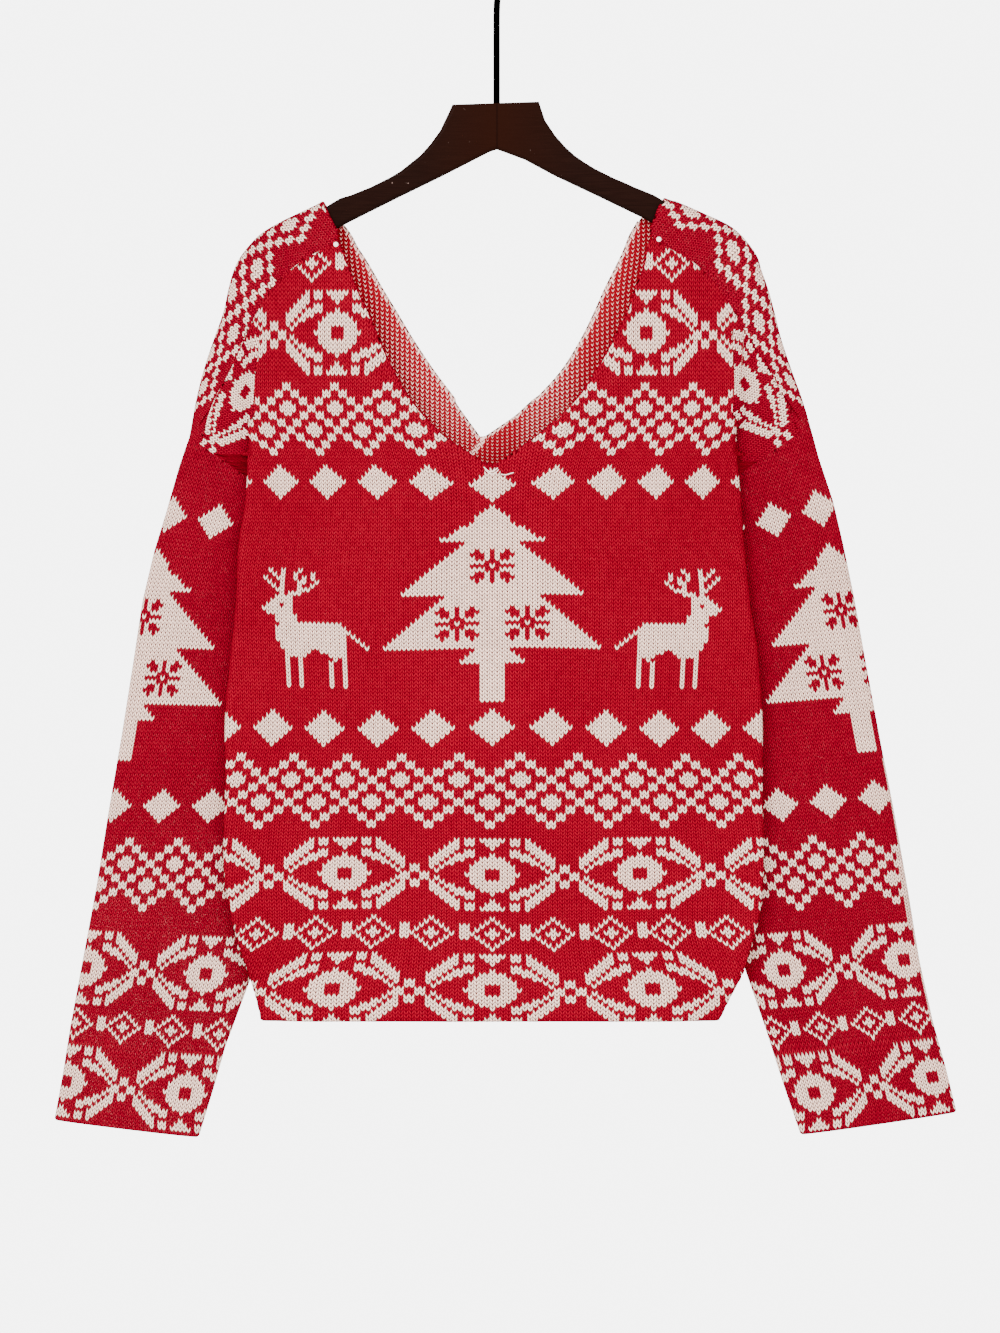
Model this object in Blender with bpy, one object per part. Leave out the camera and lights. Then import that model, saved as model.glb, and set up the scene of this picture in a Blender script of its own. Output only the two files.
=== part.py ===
"""A knitted christmas sweater hanging on a wooden hanger, in metres, +Z up, front towards -Y.

The origin is the inner top of the hanger's hook, where a rail carries it. Every piece of cloth is a
wall of one knit thickness. Its middle surface is lofted through level sections, whose sizes stand in
the short tables below in millimetres: "drop" runs down from the neck end of the shoulder, "across"
runs out from the hanger's centre line, and depth runs back from the hanger's middle plane.
"""

import math
from collections import namedtuple

import bmesh
import bpy
import numpy as np

MM = 0.001
WALL = 2.5 * MM
SEAM_GAP = 0.3 * MM
CORNER_GAP = 0.8 * MM
CORNER_REACH = 10 * MM
UNDERARM_NOTCH = 5 * MM
SHOULDER_Z = -220.0 * MM
GARMENT_CENTRE = -5.5 * MM

# The upper body: half-width to the shoulder's edge, to the forward shoulder seam and to both necks
Shoulder = namedtuple("Shoulder", "drop edge seam front_neck back_neck")
SHOULDERS = {
    "left": [
        Shoulder(0, 133, 133, 133, 133),
        Shoulder(3, 138, 132, 132, 131),
        Shoulder(10, 153, 129, 129, 125),
        Shoulder(18, 169, 125, 125, 117),
        Shoulder(25, 180, 122, 122, 112),
        Shoulder(33, 188, 123, 120, 108),
        Shoulder(42, 195, 136, 117, 102),
        Shoulder(52, 200, 149, 113, 96),
        Shoulder(66, 204, 164, 108, 88),
        Shoulder(84, 208, 178, 99, 77),
        Shoulder(104, 215, 190, 91, 65),
        Shoulder(128, 223, 203, 80, 49),
        Shoulder(152, 229, 216, 66, 31),
        Shoulder(180, 234, 225, 40, 12),
        Shoulder(202, 238, 230, 8, 6),
    ],
    "right": [
        Shoulder(0, 136, 130, 130, 128),
        Shoulder(3, 143, 125, 125, 119),
        Shoulder(10, 159, 122, 122, 111),
        Shoulder(18, 176, 119, 119, 106),
        Shoulder(25, 185, 118, 118, 102),
        Shoulder(33, 192, 123, 116, 99),
        Shoulder(42, 198, 137, 114, 95),
        Shoulder(52, 201, 149, 112, 90),
        Shoulder(66, 206, 162, 106, 83),
        Shoulder(84, 211, 176, 100, 75),
        Shoulder(104, 216, 190, 90, 65),
        Shoulder(128, 224, 208, 77, 50),
        Shoulder(150, 232, 219, 62, 30),
        Shoulder(171, 238, 229, 41, 8),
        Shoulder(202, 243, 235, 0, -4),
    ],
}

# The body's side: the front's fold, how far the cloth turns back behind it, and the side seam
Side = namedtuple("Side", "drop fold_left fold_right turned seam")
SIDES = [
    Side(60, 183, 184, -6, 130),
    Side(100, 184, 183, -6, 130),
    Side(140, 187, 183, -6, 130),
    Side(180, 188, 182, -6, 130),
    Side(195, 189, 182, 6, 129),
    Side(208, 189, 183, 26, 127),
    Side(233, 191, 185, 54, 120),
    Side(262, 196, 187, 79, 116),
    Side(280, 197, 189, 80, 108),
    Side(307, 198, 192, 80, 104),
    Side(339, 201, 197, 80, 107),
    Side(392, 206, 201, 80, 118),
    Side(443, 206, 201, 75, 126),
    Side(481, 207, 202, 70, 132),
    Side(512, 207, 202, 65, 138),
    Side(531, 204, 201, 60, 141),
    Side(548, 201, 198, 55, 143),
    Side(563, 197, 194, 50, 145),
    Side(587, 189, 187, 40, 147),
    Side(607, 183, 177, 30, 148),
    Side(630, 178, 166, 20, 148),
]

# Where the cloth lies in depth at the front and the back, and how far in from an edge it rounds over
Depth = namedtuple("Depth", "drop front back round")
DEPTHS = [
    Depth(0, 8.6, 8.6, 15),
    Depth(40, 8.8, 9.0, 15),
    Depth(70, 10.5, 10.5, 16),
    Depth(120, 13.5, 12.5, 20),
    Depth(180, 15.5, 13.5, 22),
    Depth(260, 17.0, 14.0, 22),
    Depth(450, 17.5, 14.5, 22),
    Depth(600, 15.5, 12.0, 22),
    Depth(630, 15.0, 11.5, 22),
]

# The cloth that turns back at the body's side: the sheets' spacing, and where the turn begins and is whole
TURN = 5.5
TURN_STARTS, TURN_WHOLE = 50, 185
LEAST_TURNED = 12
CREASE_START, CREASE_WIDTH = 3.5, 10
FOLD_SOFTNESS = 45

# The back's depth in front of the sleeves, and the stretch above the hem where it hangs free
BACK_AT_SIDE, HEM_AT_SIDE = -10.5, -1.0
FREE_FROM, FREE_BELOW = 575, 625

# How square the sections are: 2 is an oval, and more is flatter with rounder corners
EDGE_POWER = 2.2
ARMHOLE_POWER = 3.5
SLEEVE_POWER = 2.6

# Each sleeve from the armhole to the cuff: its outer and inner fold, and half its depth
Ring = namedtuple("Ring", "out_across out_drop in_across in_drop half middle")
SLEEVES = {
    "left": [
        Ring(234, 180, 116, 262, 7.5, 3.0),
        Ring(242, 202, 123, 281, 8.0, 3.3),
        Ring(252, 237, 129, 300, 8.5, 3.8),
        Ring(261, 266, 133, 322, 8.8, 4.2),
        Ring(270, 304, 137, 348, 9.0, 4.5),
        Ring(277, 350, 141, 386, 9.0, 4.5),
        Ring(286, 407, 148, 436, 9.0, 4.5),
        Ring(296, 465, 158, 488, 9.0, 4.5),
        Ring(305, 521, 171, 540, 9.0, 4.5),
        Ring(315, 575, 189, 591, 8.8, 4.0),
        Ring(325, 629, 209, 645, 8.5, 3.0),
        Ring(331, 667, 218, 677, 8.0, 2.5),
        Ring(337, 700, 229, 713, 7.5, 2.0),
    ],
    "right": [
        Ring(238, 171, 120, 253, 7.5, 3.0),
        Ring(245, 195, 127, 272, 8.0, 3.3),
        Ring(256, 228, 133, 292, 8.5, 3.8),
        Ring(264, 262, 137, 315, 8.8, 4.2),
        Ring(272, 301, 140, 342, 9.0, 4.5),
        Ring(281, 351, 144, 380, 9.0, 4.5),
        Ring(292, 410, 151, 430, 9.0, 4.5),
        Ring(303, 467, 161, 482, 9.0, 4.5),
        Ring(313, 524, 175, 534, 9.0, 4.5),
        Ring(322, 579, 190, 583, 8.8, 4.0),
        Ring(332, 625, 207, 632, 8.5, 3.0),
        Ring(342, 661, 220, 673, 8.0, 2.5),
        Ring(350, 694, 233, 711, 7.5, 2.0),
    ],
}

# The levels of the loft: where each section starts at the middle or neck, where it crosses the
# shoulder's ridge, and where it ends outside. At the armhole it ends at a share of the way down.
Level = namedtuple("Level", "front back ridge outer front_share back_share")
HORN_LEVELS = [
    Level(None, 2, 3, 3, None, None),
    Level(None, 6, 8, 8, None, None),
    Level(None, 12, 14, 14, None, None),
    Level(None, 19, 21, 21, None, None),
    Level(None, 27, 28, 28, None, None),
]
SEAM_LEVELS = [
    Level(35, 37, 38, 38, None, None),
    Level(47, 49, 52, 52, None, None),
    Level(60, 64, 68, 68, None, None),
    Level(77, 82, 87, 87, None, None),
    Level(97, 101, 107, 107, None, None),
    Level(118, 121, 126, 128, None, None),
    Level(140, 141, 144, 149, None, None),
    Level(160, 157, 160, 168, None, None),
]
TIP_LEVEL = Level(176, 172, 173, 185, 0.06, None)
ARMHOLE_LEVELS = [
    Level(182, 181, None, None, 0.11, 0.00),
    Level(190, 188, None, None, 0.17, 0.06),
    Level(202, 199, None, None, 0.27, 0.18),
    Level(216, 212, None, None, 0.42, 0.36),
    Level(230, 227, None, None, 0.58, 0.56),
    Level(244, 242, None, None, 0.76, 0.76),
    Level(257, 256, None, None, 0.92, 0.92),
    Level(268, 268, None, None, 1.00, 1.00),
]
SIDE_LEVELS = [
    Level(279, 279, None, 273, None, None),
    Level(292, 292, None, 287, None, None),
    Level(312, 312, None, 308, None, None),
    Level(342, 342, None, 340, None, None),
    Level(380, 380, None, 379, None, None),
    Level(418, 418, None, 418, None, None),
    Level(456, 456, None, 456, None, None),
    Level(490, 490, None, 490, None, None),
    Level(520, 520, None, 520, None, None),
    Level(545, 545, None, 545, None, None),
    Level(567, 567, None, 567, None, None),
    Level(588, 588, None, 588, None, None),
    Level(608, 608, None, 608, None, None),
    Level(625, 625, None, 625, None, None),
]
UNDERARM_CURL = 45
TIP_DEPTH = -1.0

# Columns of the front: to the fold, along the turned sheet, and on to the seam. Then those of the back:
# to the ridge, round it, and down to the forward seam.
FRONT_COLUMNS, TURN_COLUMNS, LAST_COLUMNS = 7, 3, 3
BACK_COLUMNS, RIDGE_COLUMNS, STRIP_COLUMNS = 8, 4, 3

# The hanger's outline, read along the top from the neck block outwards, then back underneath
Arm = namedtuple("Arm", "across drop")
HANGER_TOP = [
    Arm(33, -73),
    Arm(38, -61),
    Arm(47, -45),
    Arm(59, -32),
    Arm(74, -20),
    Arm(93, -9.5),
    Arm(113, -1),
    Arm(133, 5.5),
    Arm(152, 16.5),
    Arm(168, 25),
    Arm(180, 34),
    Arm(187, 44),
]
HANGER_BELOW = [
    Arm(184, 52),
    Arm(176, 53),
    Arm(160, 45),
    Arm(143, 34),
    Arm(124, 22),
    Arm(105, 14),
    Arm(72, -3),
    Arm(45, -19),
    Arm(26, -28.5),
    Arm(0, -39),
]
HANGER_THICKNESS = 13 * MM
HANGER_ROUNDING = 3 * MM

WIRE = 4.3 * MM
CROOK_RADIUS = 20 * MM + WIRE / 2
ROD_FOOT_Z = SHOULDER_Z - HANGER_TOP[0].drop * MM + SEAM_GAP

SIGN = {"left": -1, "right": 1}


def read(table, column, drop):
    """A column of a table at this drop, on a smooth curve through its rows."""
    xs = [row[0] for row in table]
    ys = [getattr(row, column) for row in table]
    if drop <= xs[0]:
        return ys[0]
    if drop >= xs[-1]:
        return ys[-1]
    i = max(k for k in range(len(xs) - 1) if xs[k] <= drop)
    slopes = []
    for k in (i, i + 1):
        a, b = max(k - 1, 0), min(k + 1, len(xs) - 1)
        slopes.append((ys[b] - ys[a]) / (xs[b] - xs[a]))
    width = xs[i + 1] - xs[i]
    t = (drop - xs[i]) / width
    return (
        ys[i] * (1 + 2 * t) * (1 - t) ** 2
        + slopes[0] * width * t * (1 - t) ** 2
        + ys[i + 1] * t * t * (3 - 2 * t)
        - slopes[1] * width * t * t * (1 - t)
    )


def ease(low, high, value):
    """0 at low, 1 at high and beyond it, and a smooth step between them."""
    t = min(max((value - low) / (high - low), 0.0), 1.0)
    return t * t * (3 - 2 * t)


def mix(a, b, t):
    return a + (b - a) * t


def bluntness(t, power):
    """A rounded end: 0 at t = 0, and level from t = 1."""
    return (1 - (1 - min(max(t, 0.0), 1.0)) ** power) ** (1 / power)


def point(side, across, depth, drop):
    return (SIGN[side] * across * MM, depth * MM, SHOULDER_Z - drop * MM)


def middle(side):
    """How far the garment's own centre line lies from the hanger's, on this side."""
    return SIGN[side] * GARMENT_CENTRE / MM


def turned_share(drop):
    return ease(TURN_STARTS, TURN_WHOLE, drop)


def layer_depth(side, across, drop, layer):
    """Depth of the front (-1) or back (1) at a place above the underarm, round at the shoulder's edge."""
    level = read(DEPTHS, "front" if layer < 0 else "back", drop)
    if layer < 0 and across > fold_at(side, drop):
        level -= 2 * TURN * turned_share(drop)
    reach = read(SHOULDERS[side], "edge", drop) - across
    return layer * level * bluntness(reach / read(DEPTHS, "round", drop), EDGE_POWER)


def fold_at(side, drop):
    return read(SIDES, "fold_" + side, drop)


def armhole(side, share, layer):
    """A point of the armhole, from the shoulder's edge (0) to the underarm (1), front or back."""
    ring = SLEEVES[side][0]
    spread = (1 - abs(2 * share - 1) ** ARMHOLE_POWER) ** (1 / ARMHOLE_POWER)
    between = mix(TIP_DEPTH, ring.middle, ease(0, 0.25, share))
    return (
        mix(ring.out_across, ring.in_across, share),
        between + layer * ring.half * spread,
        mix(ring.out_drop, ring.in_drop, share),
    )


def lift(side, drop):
    """How much higher a place sits on this side: the right shoulder is a little above the left."""
    rise = SLEEVES["left"][0].out_drop - SLEEVES[side][0].out_drop
    return rise * (1 - ease(262, 420, drop)) * ease(20, 171, drop)


def front_end(side, level):
    """(across, depth, drop) where the front panel ends: forward seam, armhole or side seam."""
    if level.front_share is not None:
        return armhole(side, level.front_share, -1)
    if level in SIDE_LEVELS:
        return side_end(side, level)
    drop = level.outer - lift(side, level.outer)
    across = read(SHOULDERS[side], "seam", drop)
    return across, layer_depth(side, across, drop, -1), drop


def side_end(side, level):
    """The side seam, which curls back to the armhole's lowest point just under the arm."""
    drop = level.outer - lift(side, level.outer)
    below = drop - SLEEVES[side][0].in_drop
    curl = 1 - ease(0, UNDERARM_CURL, below)
    across = read(SIDES, "seam", drop) + (SLEEVES[side][0].in_across - read(SIDES, "seam", 262)) * curl
    return across, mix(back_below(side, across, drop), SLEEVES[side][0].middle, curl), drop


def inner_sleeve(side, drop):
    """Where the sleeve's inner fold lies behind the body, as a distance across."""
    rings = SLEEVES[side]
    return float(np.interp(drop, [r.in_drop for r in rings], [r.in_across for r in rings]))


def back_below(side, across, drop):
    """The back's depth below the underarm: it lies in front of the sleeve, and swells behind the hollow."""
    level = read(DEPTHS, "back", drop)
    start = min(inner_sleeve(side, drop) - 7, read(SIDES, "seam", drop) + 60)
    free = ease(FREE_FROM, FREE_BELOW, drop)
    at_side = mix(BACK_AT_SIDE, HEM_AT_SIDE, free)
    return mix(level, at_side, ease(0.1, 1.0, across / mix(start, 150, free)))


def spaced(a, b, count, power=1.0):
    """count + 1 values from a to b, crowded towards b for a power below 1."""
    return [mix(a, b, (k / count) ** power) for k in range(count + 1)]


def front_start(side, level):
    """Where a front section starts: at the neck's edge, or at the garment's middle below the V."""
    if level.front < ARMHOLE_LEVELS[2].front:
        return read(SHOULDERS[side], "front_neck", level.front)
    return middle(side)


def plain_columns(start, end, end_drop, side):
    """A front section above the fold: evenly spread, with the fold's columns close to the seam."""
    narrow = min(14, 0.4 * (end - start))
    columns = spaced(start, end - narrow, FRONT_COLUMNS + 1, 0.9)
    columns += spaced(end - narrow, end, TURN_COLUMNS + LAST_COLUMNS + 3)[1:]
    return [(across, layer_depth(side, across, end_drop, -1)) for across in columns]


def folded_columns(side, end, end_depth, end_drop):
    """The fold, the sheet that turns back behind it, and the sheet that comes out to the armhole."""
    turn = TURN * turned_share(end_drop)
    fold = fold_at(side, end_drop)
    face = layer_depth(side, fold - 0.1, end_drop, -1)
    turned = read(SIDES, "turned", end_drop)
    count = TURN_COLUMNS + 4
    if turned < LEAST_TURNED:
        ramp = min(CREASE_WIDTH, 0.6 * (end - fold + CREASE_START))
        points = []
        for k in range(1, count + 1):
            t = k / count
            points.append((fold - CREASE_START + ramp * t, face + 2 * turn * ease(0, 1, t)))
    else:
        hidden = min(fold - turned, end - 0.6)
        curve = TURN / 2
        points = [(fold, face + turn / 2), (fold - curve, face + turn)]
        for k in range(1, TURN_COLUMNS):
            points.append((mix(fold - curve, hidden + curve, k / TURN_COLUMNS), face + turn))
        points.append((hidden + curve, face + turn))
        points.append((hidden, face + 1.5 * turn))
        points.append((min(hidden + curve, mix(hidden, end, 0.5)), face + 2 * turn))
    last, last_depth = points[-1]
    for k in range(1, LAST_COLUMNS + 1):
        across = mix(last, end, k / LAST_COLUMNS)
        if end_drop < SLEEVES[side][0].out_drop - 1:
            depth = layer_depth(side, max(across, fold + 0.1), end_drop, -1)
        else:
            blunt = bluntness((end - across) / read(DEPTHS, "round", end_drop), EDGE_POWER)
            full = bluntness((end - last) / read(DEPTHS, "round", end_drop), EDGE_POWER)
            depth = mix(end_depth, last_depth, blunt / max(full, 0.001))
        points.append((across, depth))
    points[-1] = (end, end_depth)
    return face, points


def turned_columns(side, end, end_depth, end_drop):
    """Below the underarm: the fold, and the sheet that runs behind it to the side seam."""
    fold = fold_at(side, end_drop)
    free = ease(FREE_FROM, FREE_BELOW, end_drop)
    face = -read(DEPTHS, "front", end_drop) * mix(1, 0.5, free)
    inside = fold - CREASE_START
    at_side = back_below(side, inside, end_drop)
    points = [(fold, mix(face, at_side, 0.5)), (inside, at_side)]
    spread = ease(0, 90, end_drop - SLEEVES[side][0].in_drop)
    count = TURN_COLUMNS + LAST_COLUMNS + 2
    near = [(count - k) * 1.1 for k in range(TURN_COLUMNS, count + 1)]
    for k in range(1, count + 1):
        even = mix(inside, end, k / count)
        tight = mix(inside, end + near[0], k / TURN_COLUMNS)
        if k >= TURN_COLUMNS:
            tight = end + near[k - TURN_COLUMNS]
        across = mix(tight, even, spread)
        curl = ease(end + 7, end, across)
        points.append((across, mix(back_below(side, across, end_drop), end_depth, curl)))
    return face, points


def front_row(side, level):
    """The front panel's section at a level, from the middle or the neck out to its seam."""
    end, end_depth, end_drop = front_end(side, level)
    start = front_start(side, level)
    if end_drop < 120:
        columns = plain_columns(start, end, end_drop, side)
        face, near_fold = None, 0
    else:
        below_arm = level in SIDE_LEVELS or level is ARMHOLE_LEVELS[-1]
        build = turned_columns if below_arm else folded_columns
        face, beyond = build(side, end, end_depth, end_drop)
        near_fold = fold_at(side, end_drop) - CREASE_START
        columns = [(across, None) for across in spaced(start, near_fold, FRONT_COLUMNS, 0.85)] + beyond
    row = []
    for k, (across, depth) in enumerate(columns):
        drop = mix(level.front, end_drop, min(2.2 * k / (len(columns) - 1), 1.0))
        if depth is None:
            full = -read(DEPTHS, "front", drop)
            depth = mix(full, face, ease(near_fold - FOLD_SOFTNESS, near_fold, across))
        row.append(point(side, across, depth, drop))
    return row


def over_shoulder(side, level, start):
    """The back panel's section that runs over the ridge and down the front to the forward seam."""
    ridge_drop = level.ridge - lift(side, level.ridge)
    edge = read(SHOULDERS[side], "edge", ridge_drop)
    around = min(read(DEPTHS, "round", ridge_drop), edge - start)
    points = []
    for across in spaced(start, edge - 0.55 * around, BACK_COLUMNS, 0.9):
        points.append((across, layer_depth(side, across, ridge_drop, 1), None))
    if level in HORN_LEVELS:
        stop = read(SHOULDERS[side], "front_neck", ridge_drop)
        stop_depth, end_drop = layer_depth(side, stop, ridge_drop, -1), ridge_drop
    else:
        stop, stop_depth, end_drop = front_end(side, level)
    near = min(0.55 * around, 0.6 * (edge - stop))
    tip = TIP_DEPTH * ease(100, 180, ridge_drop)
    places = [(edge - 0.16 * around, 1), (edge, 0), (edge - 0.3 * near, -1), (edge - near, -1)]
    for across, layer in places:
        depth = layer_depth(side, across, ridge_drop, layer) if layer else tip
        points.append((across, depth, ridge_drop))
    for k in range(1, STRIP_COLUMNS + 1):
        across = mix(edge - near, stop, k / STRIP_COLUMNS)
        drop = mix(ridge_drop, end_drop, k / STRIP_COLUMNS)
        points.append((across, layer_depth(side, across, min(drop, 182), -1), drop))
    points[-1] = (stop, stop_depth, end_drop)
    return points


def down_the_back(side, level, start):
    """The back panel's section below the shoulder's tip, out to the armhole or the side seam."""
    if level in SIDE_LEVELS:
        end, end_depth, end_drop = side_end(side, level)
    else:
        end, end_depth, end_drop = armhole(side, level.back_share, 1)
    narrow = mix(10, 26, ease(180, 250, end_drop))
    columns = spaced(start, end - narrow, BACK_COLUMNS, 0.9)
    columns += spaced(end - narrow, end, RIDGE_COLUMNS + STRIP_COLUMNS)[1:]
    points = []
    for across in columns:
        power = mix(EDGE_POWER, 1.2, ease(0, 0.3, level.back_share or 1))
        blunt = bluntness((end - across) / read(DEPTHS, "round", end_drop), power)
        flat = mix(end_depth, read(DEPTHS, "back", end_drop), blunt)
        below = mix(back_below(side, across, end_drop), end_depth, ease(end - 20, end, across))
        depth = mix(flat, below, ease(0, 60, end_drop - SLEEVES[side][0].in_drop))
        along = min(1.6 * len(points) / len(columns), 1.0)
        points.append((across, depth, mix(level.back, end_drop, along)))
    return points


def back_row(side, level):
    """The back panel's section, over the shoulder's ridge where it has one."""
    if level.ridge is None:
        return [point(side, *place) for place in down_the_back(side, level, middle(side))]
    start = read(SHOULDERS[side], "back_neck", level.back)
    row = []
    points = over_shoulder(side, level, start)
    ridge_drop = points[BACK_COLUMNS + 1][2]
    for k, (across, depth, drop) in enumerate(points):
        if drop is None:
            drop = mix(level.back, ridge_drop, min(1.6 * k / len(points), 1.0))
        row.append(point(side, across, depth, drop))
    return row


def sleeve_ring(side, ring, first):
    """A sleeve's section: the armhole's own points at first, and then a flat oval."""
    fronts = [(level.front_share, -1) for level in [TIP_LEVEL] + ARMHOLE_LEVELS]
    backs = [(level.back_share, 1) for level in ARMHOLE_LEVELS[:-1]]
    around = fronts + backs[::-1]
    loop = []
    for k, (share, layer) in enumerate(around):
        if first:
            across, depth, drop = armhole(side, share, layer)
        else:
            if k < len(fronts):
                even = mix(0.08, 1, k / (len(fronts) - 1))
            else:
                even = mix(1, 0, (k - len(fronts) + 1) / len(backs))
            even = 0.5 - 0.5 * math.cos(math.pi * even)
            spread = (1 - abs(2 * even - 1) ** SLEEVE_POWER) ** (1 / SLEEVE_POWER)
            across = mix(ring.out_across, ring.in_across, even)
            depth = ring.middle + layer * ring.half * spread
            drop = mix(ring.out_drop, ring.in_drop, even)
        loop.append(point(side, across, depth, drop))
    return loop


def grid(rows, flip, closed=False):
    """Points and four-sided faces of a loft through rows of equal length."""
    count = len(rows[0])
    faces = []
    for r in range(len(rows) - 1):
        for c in range(count if closed else count - 1):
            d = (c + 1) % count
            face = (r * count + c, r * count + d, (r + 1) * count + d, (r + 1) * count + c)
            faces.append(face[::-1] if flip else face)
    return [p for row in rows for p in row], faces


def panels():
    """The middle surface of each panel, as points and faces."""
    found = {}
    for name in ("front_panel", "back_panel"):
        points, faces = [], []
        for side in ("left", "right"):
            if name == "front_panel":
                levels = SEAM_LEVELS + [TIP_LEVEL] + ARMHOLE_LEVELS + SIDE_LEVELS
                rows = [front_row(side, level) for level in levels]
            else:
                levels = HORN_LEVELS + SEAM_LEVELS + [TIP_LEVEL] + ARMHOLE_LEVELS + SIDE_LEVELS
                rows = [back_row(side, level) for level in levels]
            flip = (side == "left") != (name == "front_panel")
            new_points, new_faces = grid(rows, flip)
            faces += [tuple(len(points) + i for i in face) for face in new_faces]
            points += new_points
        found[name] = points, faces
    for side in ("left", "right"):
        rings = SLEEVES[side]
        rows = [sleeve_ring(side, ring, k == 0) for k, ring in enumerate(rings)]
        found[side + "_sleeve"] = grid(rows, side == "left", closed=True)
    return found


def spot(place):
    """A place to the nearest micrometre, by which points that coincide are found."""
    return tuple(round(float(c) * 1e6) for c in place)


def welded(points, faces):
    """The same mesh with points that share a place made one."""
    places, order = {}, []
    for p in points:
        order.append(places.setdefault(spot(p), len(places)))
    kept = [None] * len(places)
    for p, i in zip(points, order):
        kept[i] = p
    faces = [tuple(order[i] for i in face) for face in faces]
    return kept, [f for f in faces if len(set(f)) == len(f)]


def shared_normals(found):
    """One outward direction for each place, so that neighbours meet at a seam with equal walls."""
    sums = {}
    for points, faces in found.values():
        for face in faces:
            corners = [np.array(points[i]) for i in face]
            area = np.cross(corners[2] - corners[0], corners[3] - corners[1])
            for corner in corners:
                sums[spot(corner)] = sums.get(spot(corner), 0) + area
    return {key: total / max(np.linalg.norm(total), 1e-12) for key, total in sums.items()}


def rim_of(faces):
    """Directed edges that only one face uses."""
    edges = {}
    for face in faces:
        for a, b in zip(face, face[1:] + face[:1]):
            edges[(a, b)] = edges.get((a, b), 0) + 1
    return [(a, b) for a, b in edges if (b, a) not in edges]


def inward_at_rim(points, faces, normals):
    """For each rim point, the way into the cloth, along its middle surface."""
    way = {}
    for a, b in rim_of(faces):
        along = np.array(points[b]) - np.array(points[a])
        for i in (a, b):
            way[i] = way.get(i, 0) + np.cross(normals[i], along)
    return {i: w / max(np.linalg.norm(w), 1e-12) for i, w in way.items()}


def seam_corners(shares):
    """The places where three or four seams meet: each shoulder's tip (0) and each underarm (1)."""
    ends = [(side, share) for side in SIGN for share in shares]
    return [np.array(point(side, *armhole(side, share, 1))) for side, share in ends]


def clear_of_underarm(points, faces):
    """The faces but for those at the underarm, where the seams meet in a stitched point."""
    corners = seam_corners((1,))
    near = set()
    for i, p in enumerate(points):
        if min(np.linalg.norm(np.array(p) - corner) for corner in corners) < UNDERARM_NOTCH:
            near.add(i)
    return [face for face in faces if not near & set(face)]


def draw_in(place, corners):
    """How far a rim point is drawn in: half a seam's gap, and more near a corner of seams."""
    nearest = min(np.linalg.norm(np.array(place) - corner) for corner in corners)
    return mix(CORNER_GAP, SEAM_GAP, ease(0, CORNER_REACH, nearest))


def knit_wall(name, points, faces, directions, collection, material):
    """A panel's middle surface thickened both ways, its rim drawn in by half a seam gap."""
    points, faces = welded(points, faces)
    faces = clear_of_underarm(points, faces)
    used = sorted({i for face in faces for i in face})
    points = [points[i] for i in used]
    faces = [tuple(used.index(i) for i in face) for face in faces]
    normals = [directions[spot(p)] for p in points]
    inward = inward_at_rim(points, faces, normals)
    corners = seam_corners((0, 1))
    mesh = bpy.data.meshes.new(name)
    model = bmesh.new()
    outer, inner = [], []
    for i, (p, n) in enumerate(zip(points, normals)):
        place = np.array(p) + inward.get(i, 0) * draw_in(p, corners)
        outer.append(model.verts.new(place + n * WALL / 2))
        inner.append(model.verts.new(place - n * WALL / 2))
    for face in faces:
        model.faces.new([outer[i] for i in face])
        model.faces.new([inner[i] for i in reversed(face)])
    for a, b in rim_of(faces):
        model.faces.new([outer[b], outer[a], inner[a], inner[b]])
    model.to_mesh(mesh)
    model.free()
    mesh.materials.append(material)
    for polygon in mesh.polygons:
        polygon.use_smooth = True
    thing = bpy.data.objects.new(name, mesh)
    collection.objects.link(thing)
    return thing


def finish(name, colour, roughness, metallic=0.0):
    """A plain finish with the part's own colour."""
    material = bpy.data.materials.new(name)
    material.use_nodes = True
    shader = material.node_tree.nodes["Principled BSDF"]
    shader.inputs["Base Color"].default_value = (*colour, 1.0)
    shader.inputs["Roughness"].default_value = roughness
    shader.inputs["Metallic"].default_value = metallic
    return material


def hanger(collection):
    """The wooden hanger: one flat outline, cut from board and rounded along its edges."""
    curve = bpy.data.curves.new("hanger", "CURVE")
    curve.dimensions = "2D"
    curve.fill_mode = "BOTH"
    curve.extrude = HANGER_THICKNESS / 2 - HANGER_ROUNDING
    curve.bevel_depth = HANGER_ROUNDING
    curve.bevel_resolution = 1
    curve.offset = -HANGER_ROUNDING
    half = HANGER_TOP + HANGER_BELOW
    outline = [(a.across, a.drop) for a in half] + [(-a.across, a.drop) for a in reversed(half[:-1])]
    spline = curve.splines.new("POLY")
    spline.use_cyclic_u = True
    spline.points.add(len(outline) - 1)
    for place, (across, drop) in zip(spline.points, outline):
        place.co = (across * MM, SHOULDER_Z - drop * MM, 0, 1)
    board = bpy.data.objects.new("hanger", curve)
    board.rotation_euler = (math.radians(90), 0, 0)
    collection.objects.link(board)
    bpy.context.view_layer.update()
    mesh = bpy.data.meshes.new_from_object(board.evaluated_get(bpy.context.evaluated_depsgraph_get()))
    place = board.matrix_world.copy()
    bpy.data.objects.remove(board)
    model = bmesh.new()
    model.from_mesh(mesh)
    bmesh.ops.remove_doubles(model, verts=model.verts, dist=0.01 * MM)
    bmesh.ops.recalc_face_normals(model, faces=model.faces)
    model.to_mesh(mesh)
    model.free()
    mesh.materials.clear()
    mesh.materials.append(finish("dark_stained_wood", (0.022, 0.008, 0.006), 0.35))
    thing = bpy.data.objects.new("hanger", mesh)
    thing.matrix_world = place
    collection.objects.link(thing)


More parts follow.
